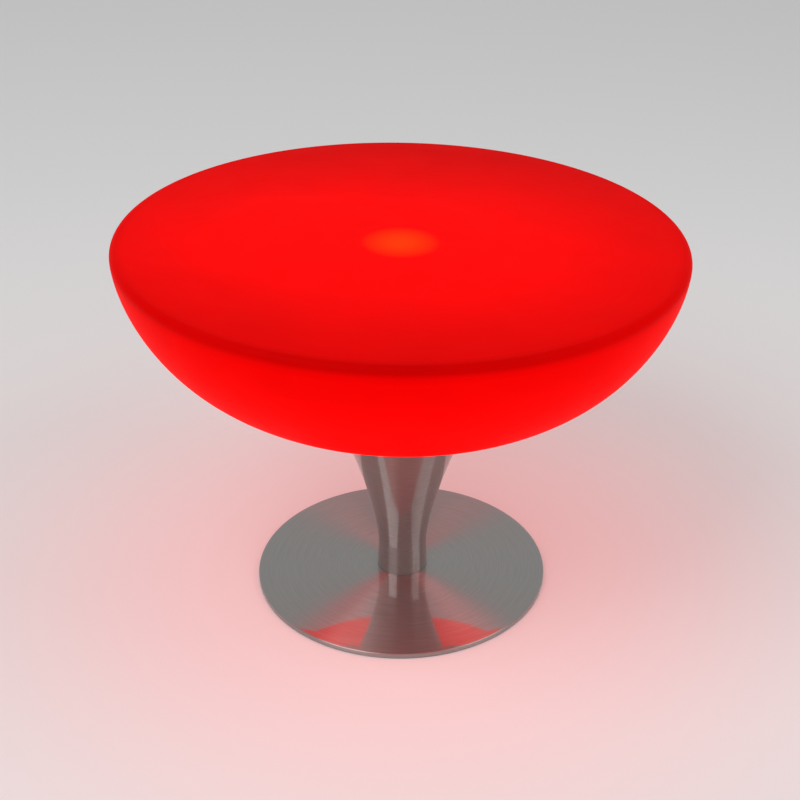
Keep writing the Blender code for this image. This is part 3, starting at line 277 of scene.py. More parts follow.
def on_circle(radius, count, start=0.0):
    angles = [start + math.tau * i / count for i in range(count)]
    return [(radius * math.cos(angle), radius * math.sin(angle)) for angle in angles]


def arc(centre, radius, start, end, steps):
    """Points of an arc from one angle to another, in degrees."""
    x, y = centre
    angles = [math.radians(start + (end - start) * i / steps) for i in range(steps + 1)]
    return [(x + radius * math.cos(angle), y + radius * math.sin(angle)) for angle in angles]


def rounded_rectangle(width, depth, corner, middle=(0, 0), steps=8):
    points = []
    for quarter, (turn_x, turn_y) in enumerate(((1, 1), (-1, 1), (-1, -1), (1, -1))):
        x = middle[0] + turn_x * (width / 2 - corner)
        y = middle[1] + turn_y * (depth / 2 - corner)
        points += arc((x, y), corner, 90 * quarter, 90 * quarter + 90, steps)
    return points


def worked(target, operation, helpers):
    """The target after each helper is cut out of it or joined to it, the helpers then removed."""
    for helper in helpers:
        modifier = target.modifiers.new(helper.name, "BOOLEAN")
        modifier.operation, modifier.object, modifier.solver = operation, helper, "EXACT"
    graph = bpy.context.evaluated_depsgraph_get()
    fresh = bpy.data.meshes.new_from_object(target.evaluated_get(graph))
    target.modifiers.clear()
    target.data = fresh
    for helper in helpers:
        bpy.data.objects.remove(helper, do_unlink=True)
    return target


def eased(target, width, steps=2, angle=40):
    """Rounds every edge sharper than the angle, in degrees."""
    modifier = target.modifiers.new("eased_edges", "BEVEL")
    modifier.width, modifier.segments = width, steps
    modifier.limit_method, modifier.angle_limit = "ANGLE", math.radians(angle)
    modifier.use_clamp_overlap = True
    return worked(target, "UNION", [])


def piece(target, node, body="table", smooth=32):
    """Gives a finished mesh the look of the CAD node that it stands for and its body, and hides that node.
    Faces that meet at less than smooth, in degrees, are shaded as one."""
    target.data.materials.clear()
    target.data.materials.append(looks[slots[node]])
    target.data.shade_smooth()
    target.data.set_sharp_from_angle(angle=math.radians(smooth))
    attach(target, body)
    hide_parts(node)
    return target


# Materials


def linear(code):
    """An sRGB hex colour in Blender's linear light, opaque."""
    parts = [int(code[i : i + 2], 16) / 255 for i in (1, 3, 5)]
    return (*(c / 12.92 if c <= 0.04045 else ((c + 0.055) / 1.055) ** 2.4 for c in parts), 1.0)


def add(tree, kind, sockets=None, stops=(), **settings):
    """One node with its settings, and its first output in use. A socket in use, by name or number, gets a
    value or a link; stops are a colour ramp's positions and hex colours."""
    made = tree.nodes.new(kind)
    for name, value in settings.items():
        setattr(made, name, value)
    in_use = [socket for socket in made.inputs if socket.enabled]
    for key, value in (sockets or {}).items():
        socket = in_use[key] if isinstance(key, int) else next(s for s in in_use if s.name == key)
        if isinstance(value, bpy.types.NodeSocket):
            tree.links.new(socket, value)
        else:
            socket.default_value = value
    for number, (position, code) in enumerate(stops):
        elements = made.color_ramp.elements
        stop = elements[number] if number < 2 else elements.new(position)
        stop.position, stop.color = position, linear(code)
    return next(socket for socket in made.outputs if socket.enabled)


def new_look(name, colour, roughness, **values):
    """A Principled material with its fixed values on the shader's own sockets, and what patterns need: its
    tree, its shader and the place on the object."""
    look = bpy.data.materials.new(name)
    look.use_nodes = True
    tree = look.node_tree
    shader = tree.nodes["Principled BSDF"]
    shader.inputs["Base Color"].default_value = look.diffuse_color = linear(colour)
    shader.inputs["Roughness"].default_value = roughness
    for socket, value in values.items():
        shader.inputs[socket.replace("_", " ")].default_value = value
    place = add(tree, "ShaderNodeTexCoord").node.outputs["Object"]
    return look, tree, shader, place


def feed(tree, shader, **sources):
    """Links finished patterns into the shader."""
    for socket, source in sources.items():
        tree.links.new(shader.inputs[socket.replace("_", " ")], source)


def lit_polyethylene():
    """Rotationally moulded translucent polyethylene over a lamp: it glows evenly and hardly shines, with a
    warm spot over the lamp, and is darker towards the rim, where light passes through the most plastic."""
    values = {"IOR": 1.5, "Specular_IOR_Level": 0.012}
    look, tree, shader, place = new_look("lit_polyethylene", "#3C0000", 0.5, **values)
    # The top: its glow reaches further from side to side than from front to back, as in the photograph
    reach = {"Vector": place, "Location": GLOW_MIDDLE, "Rotation": GLOW_TURN, "Scale": GLOW_WIDTHS}
    reach = add(tree, "ShaderNodeMapping", reach, vector_type="TEXTURE")
    reach = add(tree, "ShaderNodeVectorMath", {0: reach}, operation="LENGTH")
    glow = [(0.0, "#FF0000"), (0.4, "#BA0000"), (0.65, "#A90000"), (1.0, "#960000")]
    top = add(tree, "ShaderNodeValToRGB", {"Fac": reach}, glow)
    # The lamp's dome shows as a warm spot 55 mm in radius
    from_lamp = add(tree, "ShaderNodeVectorMath", {0: place, 1: LAMP_SPOT}, operation="DISTANCE")
    spot = [(0.0, "#002700"), (17 * MM, "#002500"), (37 * MM, "#001900"), (48 * MM, "#000E00")]
    spot += [(55 * MM, "#000000")]
    spot = add(tree, "ShaderNodeValToRGB", {"Fac": from_lamp}, spot)
    top = add(tree, "ShaderNodeMix", {0: 1.0, 1: top, 2: spot}, data_type="RGBA", blend_type="ADD")
    # The side: brightest low down, darker just under the rim
    height = add(tree, "ShaderNodeSeparateXYZ", {0: place}).node.outputs["Z"]
    rise = add(tree, "ShaderNodeMapRange", {"Value": height, "From Min": BOWL_SEAT, "From Max": TABLE_TOP})
    climb = [(0.0, "#FF0000"), (0.5, "#F00000"), (0.74, "#B80000"), (0.90, "#B30000"), (0.938, "#AA0000")]
    climb += [(0.965, "#910000"), (1.0, "#8C0000")]
    side = add(tree, "ShaderNodeValToRGB", {"Fac": rise}, climb)
    # The rim: the top's glow fades to the side's over the last 22 mm of the top
    level = add(tree, "ShaderNodeVectorMath", {0: place, 1: (1, 1, 0)}, operation="MULTIPLY")
    radius = add(tree, "ShaderNodeVectorMath", {0: level}, operation="LENGTH")
    rim = {"Value": radius, "From Min": TOP_RADIUS - 22 * MM, "From Max": TOP_RADIUS - 1 * MM}
    rim = add(tree, "ShaderNodeMapRange", rim, interpolation_type="SMOOTHSTEP")
    # The rim darkens less at the left and right, as in the photograph
    sideways = add(tree, "ShaderNodeSeparateXYZ", {0: place})
    sideways = add(tree, "ShaderNodeMath", {0: sideways}, operation="ABSOLUTE")
    fade = {"Value": sideways, "From Min": 0.1 * TOP_RADIUS, "From Max": 0.75 * TOP_RADIUS}
    fade |= {"To Min": 1.0, "To Max": 0.4}
    fade = add(tree, "ShaderNodeMapRange", fade, interpolation_type="SMOOTHSTEP")
    rim = add(tree, "ShaderNodeMath", {0: rim, 1: fade}, operation="MULTIPLY")
    # From 4 mm to 14 mm under the top the side's glow takes over all round
    under = {"Value": height, "From Min": TABLE_TOP - 4 * MM, "From Max": TABLE_TOP - 14 * MM}
    under = add(tree, "ShaderNodeMapRange", under, interpolation_type="SMOOTHSTEP")
    off_top = add(tree, "ShaderNodeMath", {0: rim, 1: under}, operation="MAXIMUM")
    even = add(tree, "ShaderNodeMix", {0: off_top, 1: top, 2: side}, data_type="RGBA")
    # The wall of a rotational moulding is uneven over about 90 mm, which shows as a faint cloud of light
    cloud = add(tree, "ShaderNodeTexNoise", {"Vector": place, "Scale": 1 / (90 * MM), "Detail": 1.0})
    wall = {"Value": cloud, "From Min": 0.25, "From Max": 0.75, "To Min": 0.965, "To Max": 1.035}
    wall = add(tree, "ShaderNodeMapRange", wall)
    emission = {0: 1.0, 1: even, 2: wall}
    emission = add(tree, "ShaderNodeMix", emission, data_type="RGBA", blend_type="MULTIPLY")
    shader.inputs["Emission Strength"].default_value = LAMP_STRENGTH
    # Orange peel of a rotational moulding, lumps 4 mm across and a few hundredths deep
    peel = add(tree, "ShaderNodeTexNoise", {"Vector": place, "Scale": 1 / (4 * MM)})
    bump = add(tree, "ShaderNodeBump", {"Height": peel, "Distance": 0.04 * MM})
    # The gloss changes over about 40 mm, as the mould's surface does
    cloud = add(tree, "ShaderNodeTexNoise", {"Vector": place, "Scale": 1 / (40 * MM)})
    gloss = add(tree, "ShaderNodeMapRange", {"Value": cloud, "To Min": 0.46, "To Max": 0.56})
    feed(tree, shader, Emission_Color=emission, Normal=bump, Roughness=gloss)
    return look


def turned_lines(tree, place, pitch):
    """Fine rings round Z, as a lathe or a brush leaves them: a pitch apart, and broken here and there."""
    z = add(tree, "ShaderNodeSeparateXYZ", {0: place}).node.outputs["Z"]
    level = add(tree, "ShaderNodeVectorMath", {0: place, 1: (1, 1, 0)}, operation="MULTIPLY")
    radius = add(tree, "ShaderNodeVectorMath", {0: level}, operation="LENGTH")
    reach = add(tree, "ShaderNodeMath", {0: radius, 1: z}, operation="ADD")
    count = add(tree, "ShaderNodeMath", {0: reach, 1: 1 / pitch}, operation="MULTIPLY")
    across = add(tree, "ShaderNodeCombineXYZ", {"Z": count})
    around = add(tree, "ShaderNodeVectorMath", {0: level}, operation="NORMALIZE")
    rings = {0: around, 1: (3, 3, 3), 2: across}
    rings = add(tree, "ShaderNodeVectorMath", rings, operation="MULTIPLY_ADD")
    return add(tree, "ShaderNodeTexNoise", {"Vector": rings, "Scale": 1.0, "Detail": 3.0})


def brushed_stainless():
    """Stainless steel, polished and then brushed in circles: the polish gives a sharp reflection, and the
    rings spread a second one outwards from the middle, as sectors of light. Thin sheet waves slightly."""
    values = {"Metallic": 1.0, "Anisotropic": 1.0, "Anisotropic_Rotation": 0.25}
    # The coat stands for the polish between the brush marks
    polish = {"Coat_Weight": 1.0, "Coat_Roughness": 0.05, "Coat_IOR": 2.2}
    look, tree, shader, place = new_look("brushed_stainless", "#928E8A", 0.4, **values, **polish)
    # Brush marks are about 0.1 mm apart, drawn from 1.6 mm down to 0.2 mm so that they show
    lines = turned_lines(tree, place, 1.6 * MM)
    tone = add(tree, "ShaderNodeValToRGB", {0: lines}, [(0.35, "#8C8884"), (0.65, "#989490")])
    gloss = {"Value": lines, "From Min": 0.3, "From Max": 0.7, "To Min": 0.35, "To Max": 0.45}
    gloss = add(tree, "ShaderNodeMapRange", gloss)
    # Spun sheet waves by a few tenths of a millimetre over about 90 mm
    wave = add(tree, "ShaderNodeTexNoise", {"Vector": place, "Scale": 1 / (90 * MM), "Detail": 0.0})
    sheet = add(tree, "ShaderNodeBump", {"Height": wave, "Distance": 0.3 * MM})
    marks = add(tree, "ShaderNodeBump", {"Height": lines, "Distance": 0.008 * MM, "Normal": sheet})
    turn = add(tree, "ShaderNodeTangent", direction_type="RADIAL", axis="Z")
    feed(tree, shader, Base_Color=tone, Roughness=gloss, Normal=marks, Tangent=turn, Coat_Normal=sheet)
    return look


def zinc_plate():
    """Pressed steel, bright zinc plated: a pale grey metal with a faint bluish cloud."""
    look, tree, shader, place = new_look("zinc_plated_steel", "#B4B4AE", 0.4, Metallic=1.0)
    # The plating clouds over about 9 mm and has a grit of about 1 mm
    cloud = add(tree, "ShaderNodeTexNoise", {"Vector": place, "Scale": 1 / (9 * MM), "Detail": 4.0})
    colour = {0: cloud, 1: linear("#A2A3A2"), 2: linear("#BFBFB8")}
    colour = add(tree, "ShaderNodeMix", colour, data_type="RGBA")
    gloss = add(tree, "ShaderNodeMapRange", {"Value": cloud, "To Min": 0.32, "To Max": 0.5})
    grit = add(tree, "ShaderNodeTexNoise", {"Vector": place, "Scale": 1 / (1.2 * MM)})
    bump = add(tree, "ShaderNodeBump", {"Height": grit, "Distance": 0.01 * MM})
    feed(tree, shader, Base_Color=colour, Roughness=gloss, Normal=bump)
    return look


def black_enamel():
    """Steel plate with baked black enamel: a low sheen over a fine orange peel."""
    look, tree, shader, place = new_look("black_enamel", "#1C1C1D", 0.38)
    # The peel's lumps are about 2.5 mm across, and the colour clouds over about 30 mm
    peel = add(tree, "ShaderNodeTexNoise", {"Vector": place, "Scale": 1 / (2.5 * MM)})
    bump = add(tree, "ShaderNodeBump", {"Height": peel, "Distance": 0.04 * MM})
    cloud = add(tree, "ShaderNodeTexNoise", {"Vector": place, "Scale": 1 / (30 * MM), "Detail": 4.0})
    colour = {0: cloud, 1: linear("#191919"), 2: linear("#232324")}
    colour = add(tree, "ShaderNodeMix", colour, data_type="RGBA")
    feed(tree, shader, Base_Color=colour, Normal=bump)
    return look


def moulded_rubber():
    """Moulded black rubber: matt, with a fine dusty bloom."""
    look, tree, shader, place = new_look("moulded_rubber", "#1B1B1B", 0.85, Specular_IOR_Level=0.3)
    # The bloom lies in patches of about 6 mm, and the pores are about 0.6 mm
    bloom = add(tree, "ShaderNodeTexNoise", {"Vector": place, "Scale": 1 / (6 * MM), "Detail": 4.0})
    colour = {0: bloom, 1: linear("#161616"), 2: linear("#262626")}
    colour = add(tree, "ShaderNodeMix", colour, data_type="RGBA")
    pores = add(tree, "ShaderNodeTexNoise", {"Vector": place, "Scale": 1 / (0.6 * MM)})
    bump = add(tree, "ShaderNodeBump", {"Height": pores, "Distance": 0.05 * MM})
    feed(tree, shader, Base_Color=colour, Normal=bump)
    return look


def moulded_abs():
    """Black ABS from a spark-eroded mould: an even fine texture with a soft sheen."""
    look, tree, shader, place = new_look("moulded_abs", "#1D1D1F", 0.5)
    # Spark texture is about 0.2 mm, drawn at 0.5 mm so that it shows
    texture = add(tree, "ShaderNodeTexNoise", {"Vector": place, "Scale": 1 / (0.5 * MM), "Detail": 1.0})
    bump = add(tree, "ShaderNodeBump", {"Height": texture, "Distance": 0.04 * MM})
    gloss = add(tree, "ShaderNodeMapRange", {"Value": texture, "To Min": 0.44, "To Max": 0.6})
    # The colour clouds over about 12 mm
    cloud = add(tree, "ShaderNodeTexNoise", {"Vector": place, "Scale": 1 / (12 * MM)})
    colour = {0: cloud, 1: linear("#1A1A1C"), 2: linear("#222224")}
    colour = add(tree, "ShaderNodeMix", colour, data_type="RGBA")
    feed(tree, shader, Base_Color=colour, Roughness=gloss, Normal=bump)
    return look


def turned_metal(name, colour, roughness):
    """A turned or spun metal: bright, with the rings that the tool leaves."""
    look, tree, shader, place = new_look(name, colour, roughness, Metallic=1.0)
    # Tool rings are about 0.2 mm apart, drawn at 0.6 mm so that they show
    lines = turned_lines(tree, place, 0.6 * MM)
    bump = add(tree, "ShaderNodeBump", {"Height": lines, "Distance": 0.01 * MM})
    gloss = {"Value": lines, "To Min": roughness - 0.05, "To Max": roughness + 0.07}
    gloss = add(tree, "ShaderNodeMapRange", gloss)
    feed(tree, shader, Roughness=gloss, Normal=bump)
    return look


def opal_polycarbonate():
    """Opal polycarbonate dome, lit from below by the LEDs: milky and bright, with a faint ripple."""
    look, tree, shader, place = new_look("opal_polycarbonate", "#E8DCD6", 0.4)
    shader.inputs["Emission Color"].default_value = linear("#FF4A12")
    shader.inputs["Emission Strength"].default_value = LAMP_STRENGTH
    # The ripples are about 1.5 mm apart
    ripple = add(tree, "ShaderNodeTexNoise", {"Vector": place, "Scale": 1 / (1.5 * MM)})
    bump = add(tree, "ShaderNodeBump", {"Height": ripple, "Distance": 0.01 * MM})
    feed(tree, shader, Normal=bump)
    return look


def solder_mask(name, low, high):
    """A printed board under its solder mask: glossy, with the tracks as a slightly paler net."""
    look, tree, shader, place = new_look(name, low, 0.35)
    # The net's meshes are 6 mm by 3 mm, and its tracks about 0.7 mm wide
    brick = add(tree, "ShaderNodeTexBrick", {"Vector": place, "Scale": 1 / (12 * MM), "Mortar Size": 0.03})
    tracks = brick.node.outputs["Fac"]
    colour = {0: tracks, 1: linear(low), 2: linear(high)}
    colour = add(tree, "ShaderNodeMix", colour, data_type="RGBA")
    bump = add(tree, "ShaderNodeBump", {"Height": tracks, "Distance": 0.03 * MM})
    feed(tree, shader, Base_Color=colour, Normal=bump)
    return look


def shrink_wrap():
    """Blue PVC shrink wrap round the cells: glossy, with soft wrinkles."""
    look, tree, shader, place = new_look("shrink_wrap", "#1F4A8C", 0.3)
    # The wrinkles are about 5 mm apart
    wrinkles = add(tree, "ShaderNodeTexNoise", {"Vector": place, "Scale": 1 / (5 * MM), "Detail": 3.0})
    bump = add(tree, "ShaderNodeBump", {"Height": wrinkles, "Distance": 0.1 * MM})
    colour = {0: wrinkles, 1: linear("#1C4482"), 2: linear("#2A58A0")}
    colour = add(tree, "ShaderNodeMix", colour, data_type="RGBA")
    feed(tree, shader, Base_Color=colour, Normal=bump)
    return look


def lead_sheath():
    """Extruded black PVC sheath: a dull gloss with faint marks from the die."""
    look, tree, shader, place = new_look("lead_sheath", "#202020", 0.5)
    # The marks are about 2 mm apart
    marks = add(tree, "ShaderNodeTexNoise", {"Vector": place, "Scale": 1 / (2 * MM)})
    bump = add(tree, "ShaderNodeBump", {"Height": marks, "Distance": 0.02 * MM})
    gloss = add(tree, "ShaderNodeMapRange", {"Value": marks, "To Min": 0.42, "To Max": 0.56})
    feed(tree, shader, Roughness=gloss, Normal=bump)
    return look


looks = {
    "translucent_polyethylene": lit_polyethylene(),
    "opal_polycarbonate": opal_polycarbonate(),
    "polished_stainless": brushed_stainless(),
    "zinc_plated_steel": zinc_plate(),
    "ballast_steel": black_enamel(),
    "aluminium": turned_metal("spun_aluminium", "#C9C9C9", 0.33),
    "brass": turned_metal("turned_brass", "#C9A45A", 0.3),
    "black_rubber": moulded_rubber(),
    "black_abs": moulded_abs(),
    "circuit_board": solder_mask("green_solder_mask", "#14482A", "#1E6038"),
    "white_solder_mask": solder_mask("white_solder_mask", "#DEDEDA", "#EAEAE6"),
    "battery_wrap": shrink_wrap(),
    "lead_sheath": lead_sheath(),
}
slots = {entry["node"]: entry["material_slot"] for entry in frame["record"]["subparts"]}
for name, node in nodes.items():
    node.data.materials.clear()
    node.data.materials.append(looks[slots[name]])


# The bowl's side, and the places that follow from it


def bowl_side(angle):
    """A point of the bowl's outer side: angle 0 is the rim and SEAT_ANGLE the edge of the seat."""
    radius = TOP_RADIUS * math.cos(angle) ** BOWL_RADIUS_POWER
    return radius, BOWL_RIM - BOWL_SIDE_DEPTH * math.sin(angle) ** BOWL_DEPTH_POWER


def side_slope(angle):
    """The side's direction in its section, downwards."""
    step = SEAT_ANGLE / 1000
    upper, lower = bowl_side(max(angle - step, 0)), bowl_side(angle + step)
    return Vector((lower[0] - upper[0], lower[1] - upper[1])).normalized()


# The bolts and the hub's screws lie round the table's axis, and the panel on the bowl's side at the back
bolt_places = on_circle(BOLT_CIRCLE, BOLT_COUNT, math.pi / BOLT_COUNT)
hub_screw_places = on_circle(HUB_SCREW_CIRCLE, HUB_SCREW_COUNT, math.pi / HUB_SCREW_COUNT)
panel_angle = math.acos((PANEL_RADIUS / TOP_RADIUS) ** (1 / BOWL_RADIUS_POWER))
panel_along = side_slope(panel_angle)
panel_tilt = math.atan2(-panel_along.y, -panel_along.x)
panel_out, panel_height = bowl_side(panel_angle)
panel_out += PAD_PROUD * math.sin(panel_tilt)
panel_height -= PAD_PROUD * math.cos(panel_tilt)
panel_turn = Matrix.Rotation(math.pi + panel_tilt, 4, "X")
panel_place = Matrix.Translation((0, panel_out, panel_height)) @ panel_turn
button_place = panel_place @ Matrix.Translation((-CONTROL_OFFSET, 0, 0))
socket_place = panel_place @ Matrix.Translation((CONTROL_OFFSET, 0, 0))
hinge_place = panel_place @ Matrix.Translation((CONTROL_OFFSET, -HINGE_OFFSET, HINGE_RISE))
along_hinge = Matrix.Rotation(math.pi / 2, 4, "Y")


def panel_outline(margin=0.0):
    return rounded_rectangle(PANEL_WIDTH + 2 * margin, PANEL_HEIGHT + 2 * margin, PANEL_CORNER + margin)


def body_outline(margin=0.0):
    return rounded_rectangle(BODY_WIDTH + 2 * margin, BODY_HEIGHT + 2 * margin, BODY_CORNER + margin)


def panel_screw_holes(low, high):
    radius = PANEL_SCREW.radius + GAP
    return drums("panel_screw_hole", radius, low, high, PANEL_SCREW_PLACES, SMALL_HOLE_SIDES, panel_place)


# Bowl


def bowl_section():
    """The closed section of the hollow moulding, from the middle of its top round to its inside."""
    top_steps, side_steps, inner_steps = 10, 56, 24
    edge = (TOP_RADIUS - BOWL_EDGE_ROUND, BOWL_RIM)
    outer = [(TOP_RADIUS * i / top_steps, TABLE_TOP) for i in range(top_steps)]
    outer += arc(edge, BOWL_EDGE_ROUND, 90, 0, steps=10)
    outer += [bowl_side(SEAT_ANGLE * i / side_steps) for i in range(1, side_steps + 1)]
    outer.append((BOWL_OPENING_RADIUS, BOWL_SEAT))
    inner = [(0, TABLE_TOP - BOWL_WALL)]
    inner += arc(edge, BOWL_EDGE_ROUND - BOWL_WALL, 90, 0, steps=4)
    for i in range(1, inner_steps):
        angle = SEAT_ANGLE * i / inner_steps
        (radius, height), along = bowl_side(angle), side_slope(angle)
        inner.append((radius + BOWL_WALL * along.y, height - BOWL_WALL * along.x))
    inner += [(BOWL_SEAT_RADIUS, BOWL_SEAT + BOWL_WALL), (BOWL_OPENING_RADIUS, BOWL_SEAT + BOWL_WALL)]
    return outer + inner[::-1]


def make_bowl():
    """The hollow moulding with its bosses, the panel's pad and window, and holes for inserts and screws."""
    bowl = turned("bowl", bowl_section(), BOWL_SIDES)
    joined = drums("boss", BOSS_RADIUS, BOWL_SEAT + BOWL_WALL / 2, BOWL_SEAT + BOSS_HEIGHT, bolt_places)
    joined.append(slab("panel_pad", panel_outline(PAD_MARGIN), -PAD_DEPTH, 0, panel_place))
    worked(bowl, "UNION", joined)
    low, high = BOWL_SEAT - 2 * OVERRUN, BOWL_SEAT + INSERT_LENGTH + GAP
    cutters = drums("insert_hole", INSERT_RADIUS + GAP, low, high, bolt_places)
    cutters.append(slab("panel_window", body_outline(GAP), -BODY_DEPTH, 2 * OVERRUN, panel_place))
    cutters += panel_screw_holes(-PAD_DEPTH - BOWL_WALL, 2 * OVERRUN)
    return piece(worked(bowl, "DIFFERENCE", cutters), "bowl_shell")


# Column, base and neck


def column_radius(height):
    foot = max(0, 1 - height / COLUMN_FOOT_HEIGHT)
    flare = max(0, height - COLUMN_FOOT_HEIGHT) / (COLUMN_HIGH - COLUMN_LOW - COLUMN_FOOT_HEIGHT)
    rise = COLUMN_TOP_RADIUS - COLUMN_NECK_RADIUS
    return COLUMN_NECK_RADIUS + COLUMN_FOOT_FLARE * foot**2 + rise * flare**COLUMN_FLARE_POWER


def cover_height(radius):
    share = max(0, radius - COVER_SEAT_RADIUS) / (BASE_RADIUS - COVER_SEAT_RADIUS)
    return COVER_TOP - BASE_CROWN * share**2


def make_column():
    outer_steps, inner_steps = 60, 30
    outer = [(COLUMN_HIGH - COLUMN_LOW) * i / outer_steps for i in range(outer_steps + 1)]
    inner = [(COLUMN_HIGH - COLUMN_LOW) * i / inner_steps for i in range(inner_steps, -1, -1)]
    section = [(column_radius(height), COLUMN_LOW + height) for height in outer]
    section += [(column_radius(height) - COLUMN_WALL, COLUMN_LOW + height) for height in inner]
    return piece(turned("column", section, DISC_SIDES), "column_shell")


def make_cover():
    """The base's spun cover: a hole for the hub, a slight crown, a rounded edge and a skirt."""
    bore = column_radius(COLUMN_FOOT_HEIGHT) - COLUMN_WALL
    edge = BASE_RADIUS - COVER_EDGE_ROUND
    steps = 18
    radii = [COVER_SEAT_RADIUS + (edge - COVER_SEAT_RADIUS) * i / steps for i in range(steps + 1)]
    section = [(bore, COVER_TOP)] + [(radius, cover_height(radius)) for radius in radii]
    section += arc((edge, cover_height(edge) - COVER_EDGE_ROUND), COVER_EDGE_ROUND, 90, 0, steps=6)[1:]
    skirt = BASE_RADIUS - COVER_WALL
    section += [(BASE_RADIUS, SKIRT_LIFT), (skirt, SKIRT_LIFT), (skirt, cover_height(skirt) - COVER_WALL)]
    section += [(radius, cover_height(radius) - COVER_WALL) for radius in radii[-2::-1]]
    section.append((bore, COVER_TOP - COVER_WALL))
    return piece(turned("cover", section, BOWL_SIDES), "base_cover")


def make_floor_ring():
    low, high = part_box("floor_ring")
    outer, inner, soft = high.x, high.x - FLOOR_RING_WIDTH, FLOOR_RING_EASING
    section = arc((inner + soft, low.z + soft), soft, 180, 270, steps=4)
    section += arc((outer - soft, low.z + soft), soft, 270, 360, steps=4)
    section += [(outer, high.z), (inner, high.z)]
    return piece(turned("foot_ring", section, DISC_SIDES), "floor_ring")


def make_ballast():
    """The ballast plate, with the floor ring's groove and the hub screws' countersunk holes."""
    radius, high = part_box("ballast_plate")[1].x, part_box("ballast_plate")[1].z
    outer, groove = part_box("floor_ring")[1].x + GAP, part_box("floor_ring")[1].z + GAP
    inner = outer - FLOOR_RING_WIDTH - 2 * GAP
    section = [(0, SKIRT_LIFT), (inner, SKIRT_LIFT), (inner, groove), (outer, groove)]
    section += [(outer, SKIRT_LIFT), (radius, SKIRT_LIFT), (radius, high - BALLAST_CHAMFER)]
    section += [(radius - BALLAST_CHAMFER, high), (0, high)]
    plate = turned("ballast", section, DISC_SIDES)
    hole, head = HUB_SCREW.radius + GAP, HUB_SCREW.head_radius + GAP
    sink = [(0, -OVERRUN), (head, -OVERRUN), (head, SKIRT_LIFT)]
    sink += [(hole, SKIRT_LIFT + HUB_SCREW.head_height + GAP), (hole, high + OVERRUN), (0, high + OVERRUN)]
    sinks = []
    for i, (x, y) in enumerate(hub_screw_places):
        sinks.append(turned(f"sink_{i}", sink, HOLE_SIDES, Matrix.Translation((x, y, 0))))
    return piece(worked(plate, "DIFFERENCE", sinks), "ballast_plate")


def make_flange():
    """The disc on the column's flare, with its locating ring, eased edge and bolt holes."""
    outer, soft = FLANGE_RADIUS, FLANGE_EASING
    ring_low = FLANGE_LOW - FLANGE_RING_HEIGHT
    ring_outer = column_radius(COLUMN_HIGH - COLUMN_LOW - FLANGE_RING_HEIGHT) - COLUMN_WALL - GAP
    ring_inner = ring_outer - FLANGE_RING_WALL
    section = [(ROD_BORE, FLANGE_LOW), (ring_inner, FLANGE_LOW), (ring_inner, ring_low)]
    section += [(ring_outer, ring_low), (ring_outer, FLANGE_LOW)]
    section += arc((outer - soft, FLANGE_LOW + soft), soft, 270, 360, steps=3)
    section += arc((outer - soft, FLANGE_HIGH - soft), soft, 0, 90, steps=3)
    section.append((ROD_BORE, FLANGE_HIGH))
    flange = turned("flange", section, DISC_SIDES)
    low, high = FLANGE_LOW - OVERRUN, FLANGE_HIGH + OVERRUN
    holes = drums("flange_hole", BOLT.radius + GAP, low, high, bolt_places)
    return piece(worked(flange, "DIFFERENCE", holes), "mounting_flange")


def make_gasket():
    """The soft ring between flange and bowl, its outer edge round."""
    inner, edge = GASKET_INNER_RADIUS, GASKET_OUTER_RADIUS - GASKET_LIP
    middle, half = (GASKET_LOW + GASKET_HIGH) / 2, (GASKET_HIGH - GASKET_LOW) / 2
    section = [(inner, GASKET_LOW), (edge, GASKET_LOW)]
    section += arc((edge, middle), half, -90, 90, steps=6)[1:-1]
    section += [(edge, GASKET_HIGH), (inner, GASKET_HIGH)]
    gasket = turned("gasket", section, DISC_SIDES)
    low, high = GASKET_LOW - OVERRUN, GASKET_HIGH + OVERRUN
    holes = drums("gasket_hole", BOLT.radius + GAP, low, high, bolt_places)
    return piece(worked(gasket, "DIFFERENCE", holes), "neck_gasket")


# Fasteners


def socket_screw(name, node, kind, length, place, sunk=False):
    """A screw with a hexagon socket, its shank pointing down. Its head stands on the placement's origin, or
    is a cone that ends there where the screw is sunk."""
    soft = kind.head_height * HEAD_ROUNDING
    if sunk:
        top = 0
        section = [(0, -length), (kind.radius, -length), (kind.radius, -kind.head_height)]
        section += [(kind.head_radius, 0), (0, 0)]
    else:
        top = kind.head_height
        section = [(0, -length), (kind.radius, -length), (kind.radius, 0), (kind.head_radius, 0)]
        section += arc((kind.head_radius - soft, top - soft), soft, 0, 90, steps=4) + [(0, top)]
    body = turned(name, section, SCREW_SIDES, place)
    hexagon = on_circle(kind.key / math.sqrt(3), 6)
    recess = slab(f"{name}_key", hexagon, top - kind.key / 2, top + OVERRUN, place)
    return piece(worked(body, "DIFFERENCE", [recess]), node)


def make_screws():
    head_down = Matrix.Rotation(math.pi, 4, "X")
    for i, (x, y) in enumerate(bolt_places, 1):
        low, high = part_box(f"bowl_screw_{i}")
        seat = low.z + BOLT.head_height
        place = Matrix.Translation((x, y, seat)) @ head_down
        socket_screw(f"bowl_bolt_{i}", f"bowl_screw_{i}", BOLT, high.z - seat, place)
    for i, (x, y) in enumerate(hub_screw_places, 1):
        low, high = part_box(f"hub_screw_{i}")
        place = Matrix.Translation((x, y, low.z)) @ head_down
        socket_screw(f"hub_bolt_{i}", f"hub_screw_{i}", HUB_SCREW, high.z - low.z, place, sunk=True)
    for i, (x, y) in enumerate(PANEL_SCREW_PLACES, 1):
        place = panel_place @ Matrix.Translation((x, y, PANEL_FACE + GAP))
        socket_screw(f"panel_bolt_{i}", f"panel_screw_{i}", PANEL_SCREW, PANEL_SCREW_LENGTH, place)


# Control panel


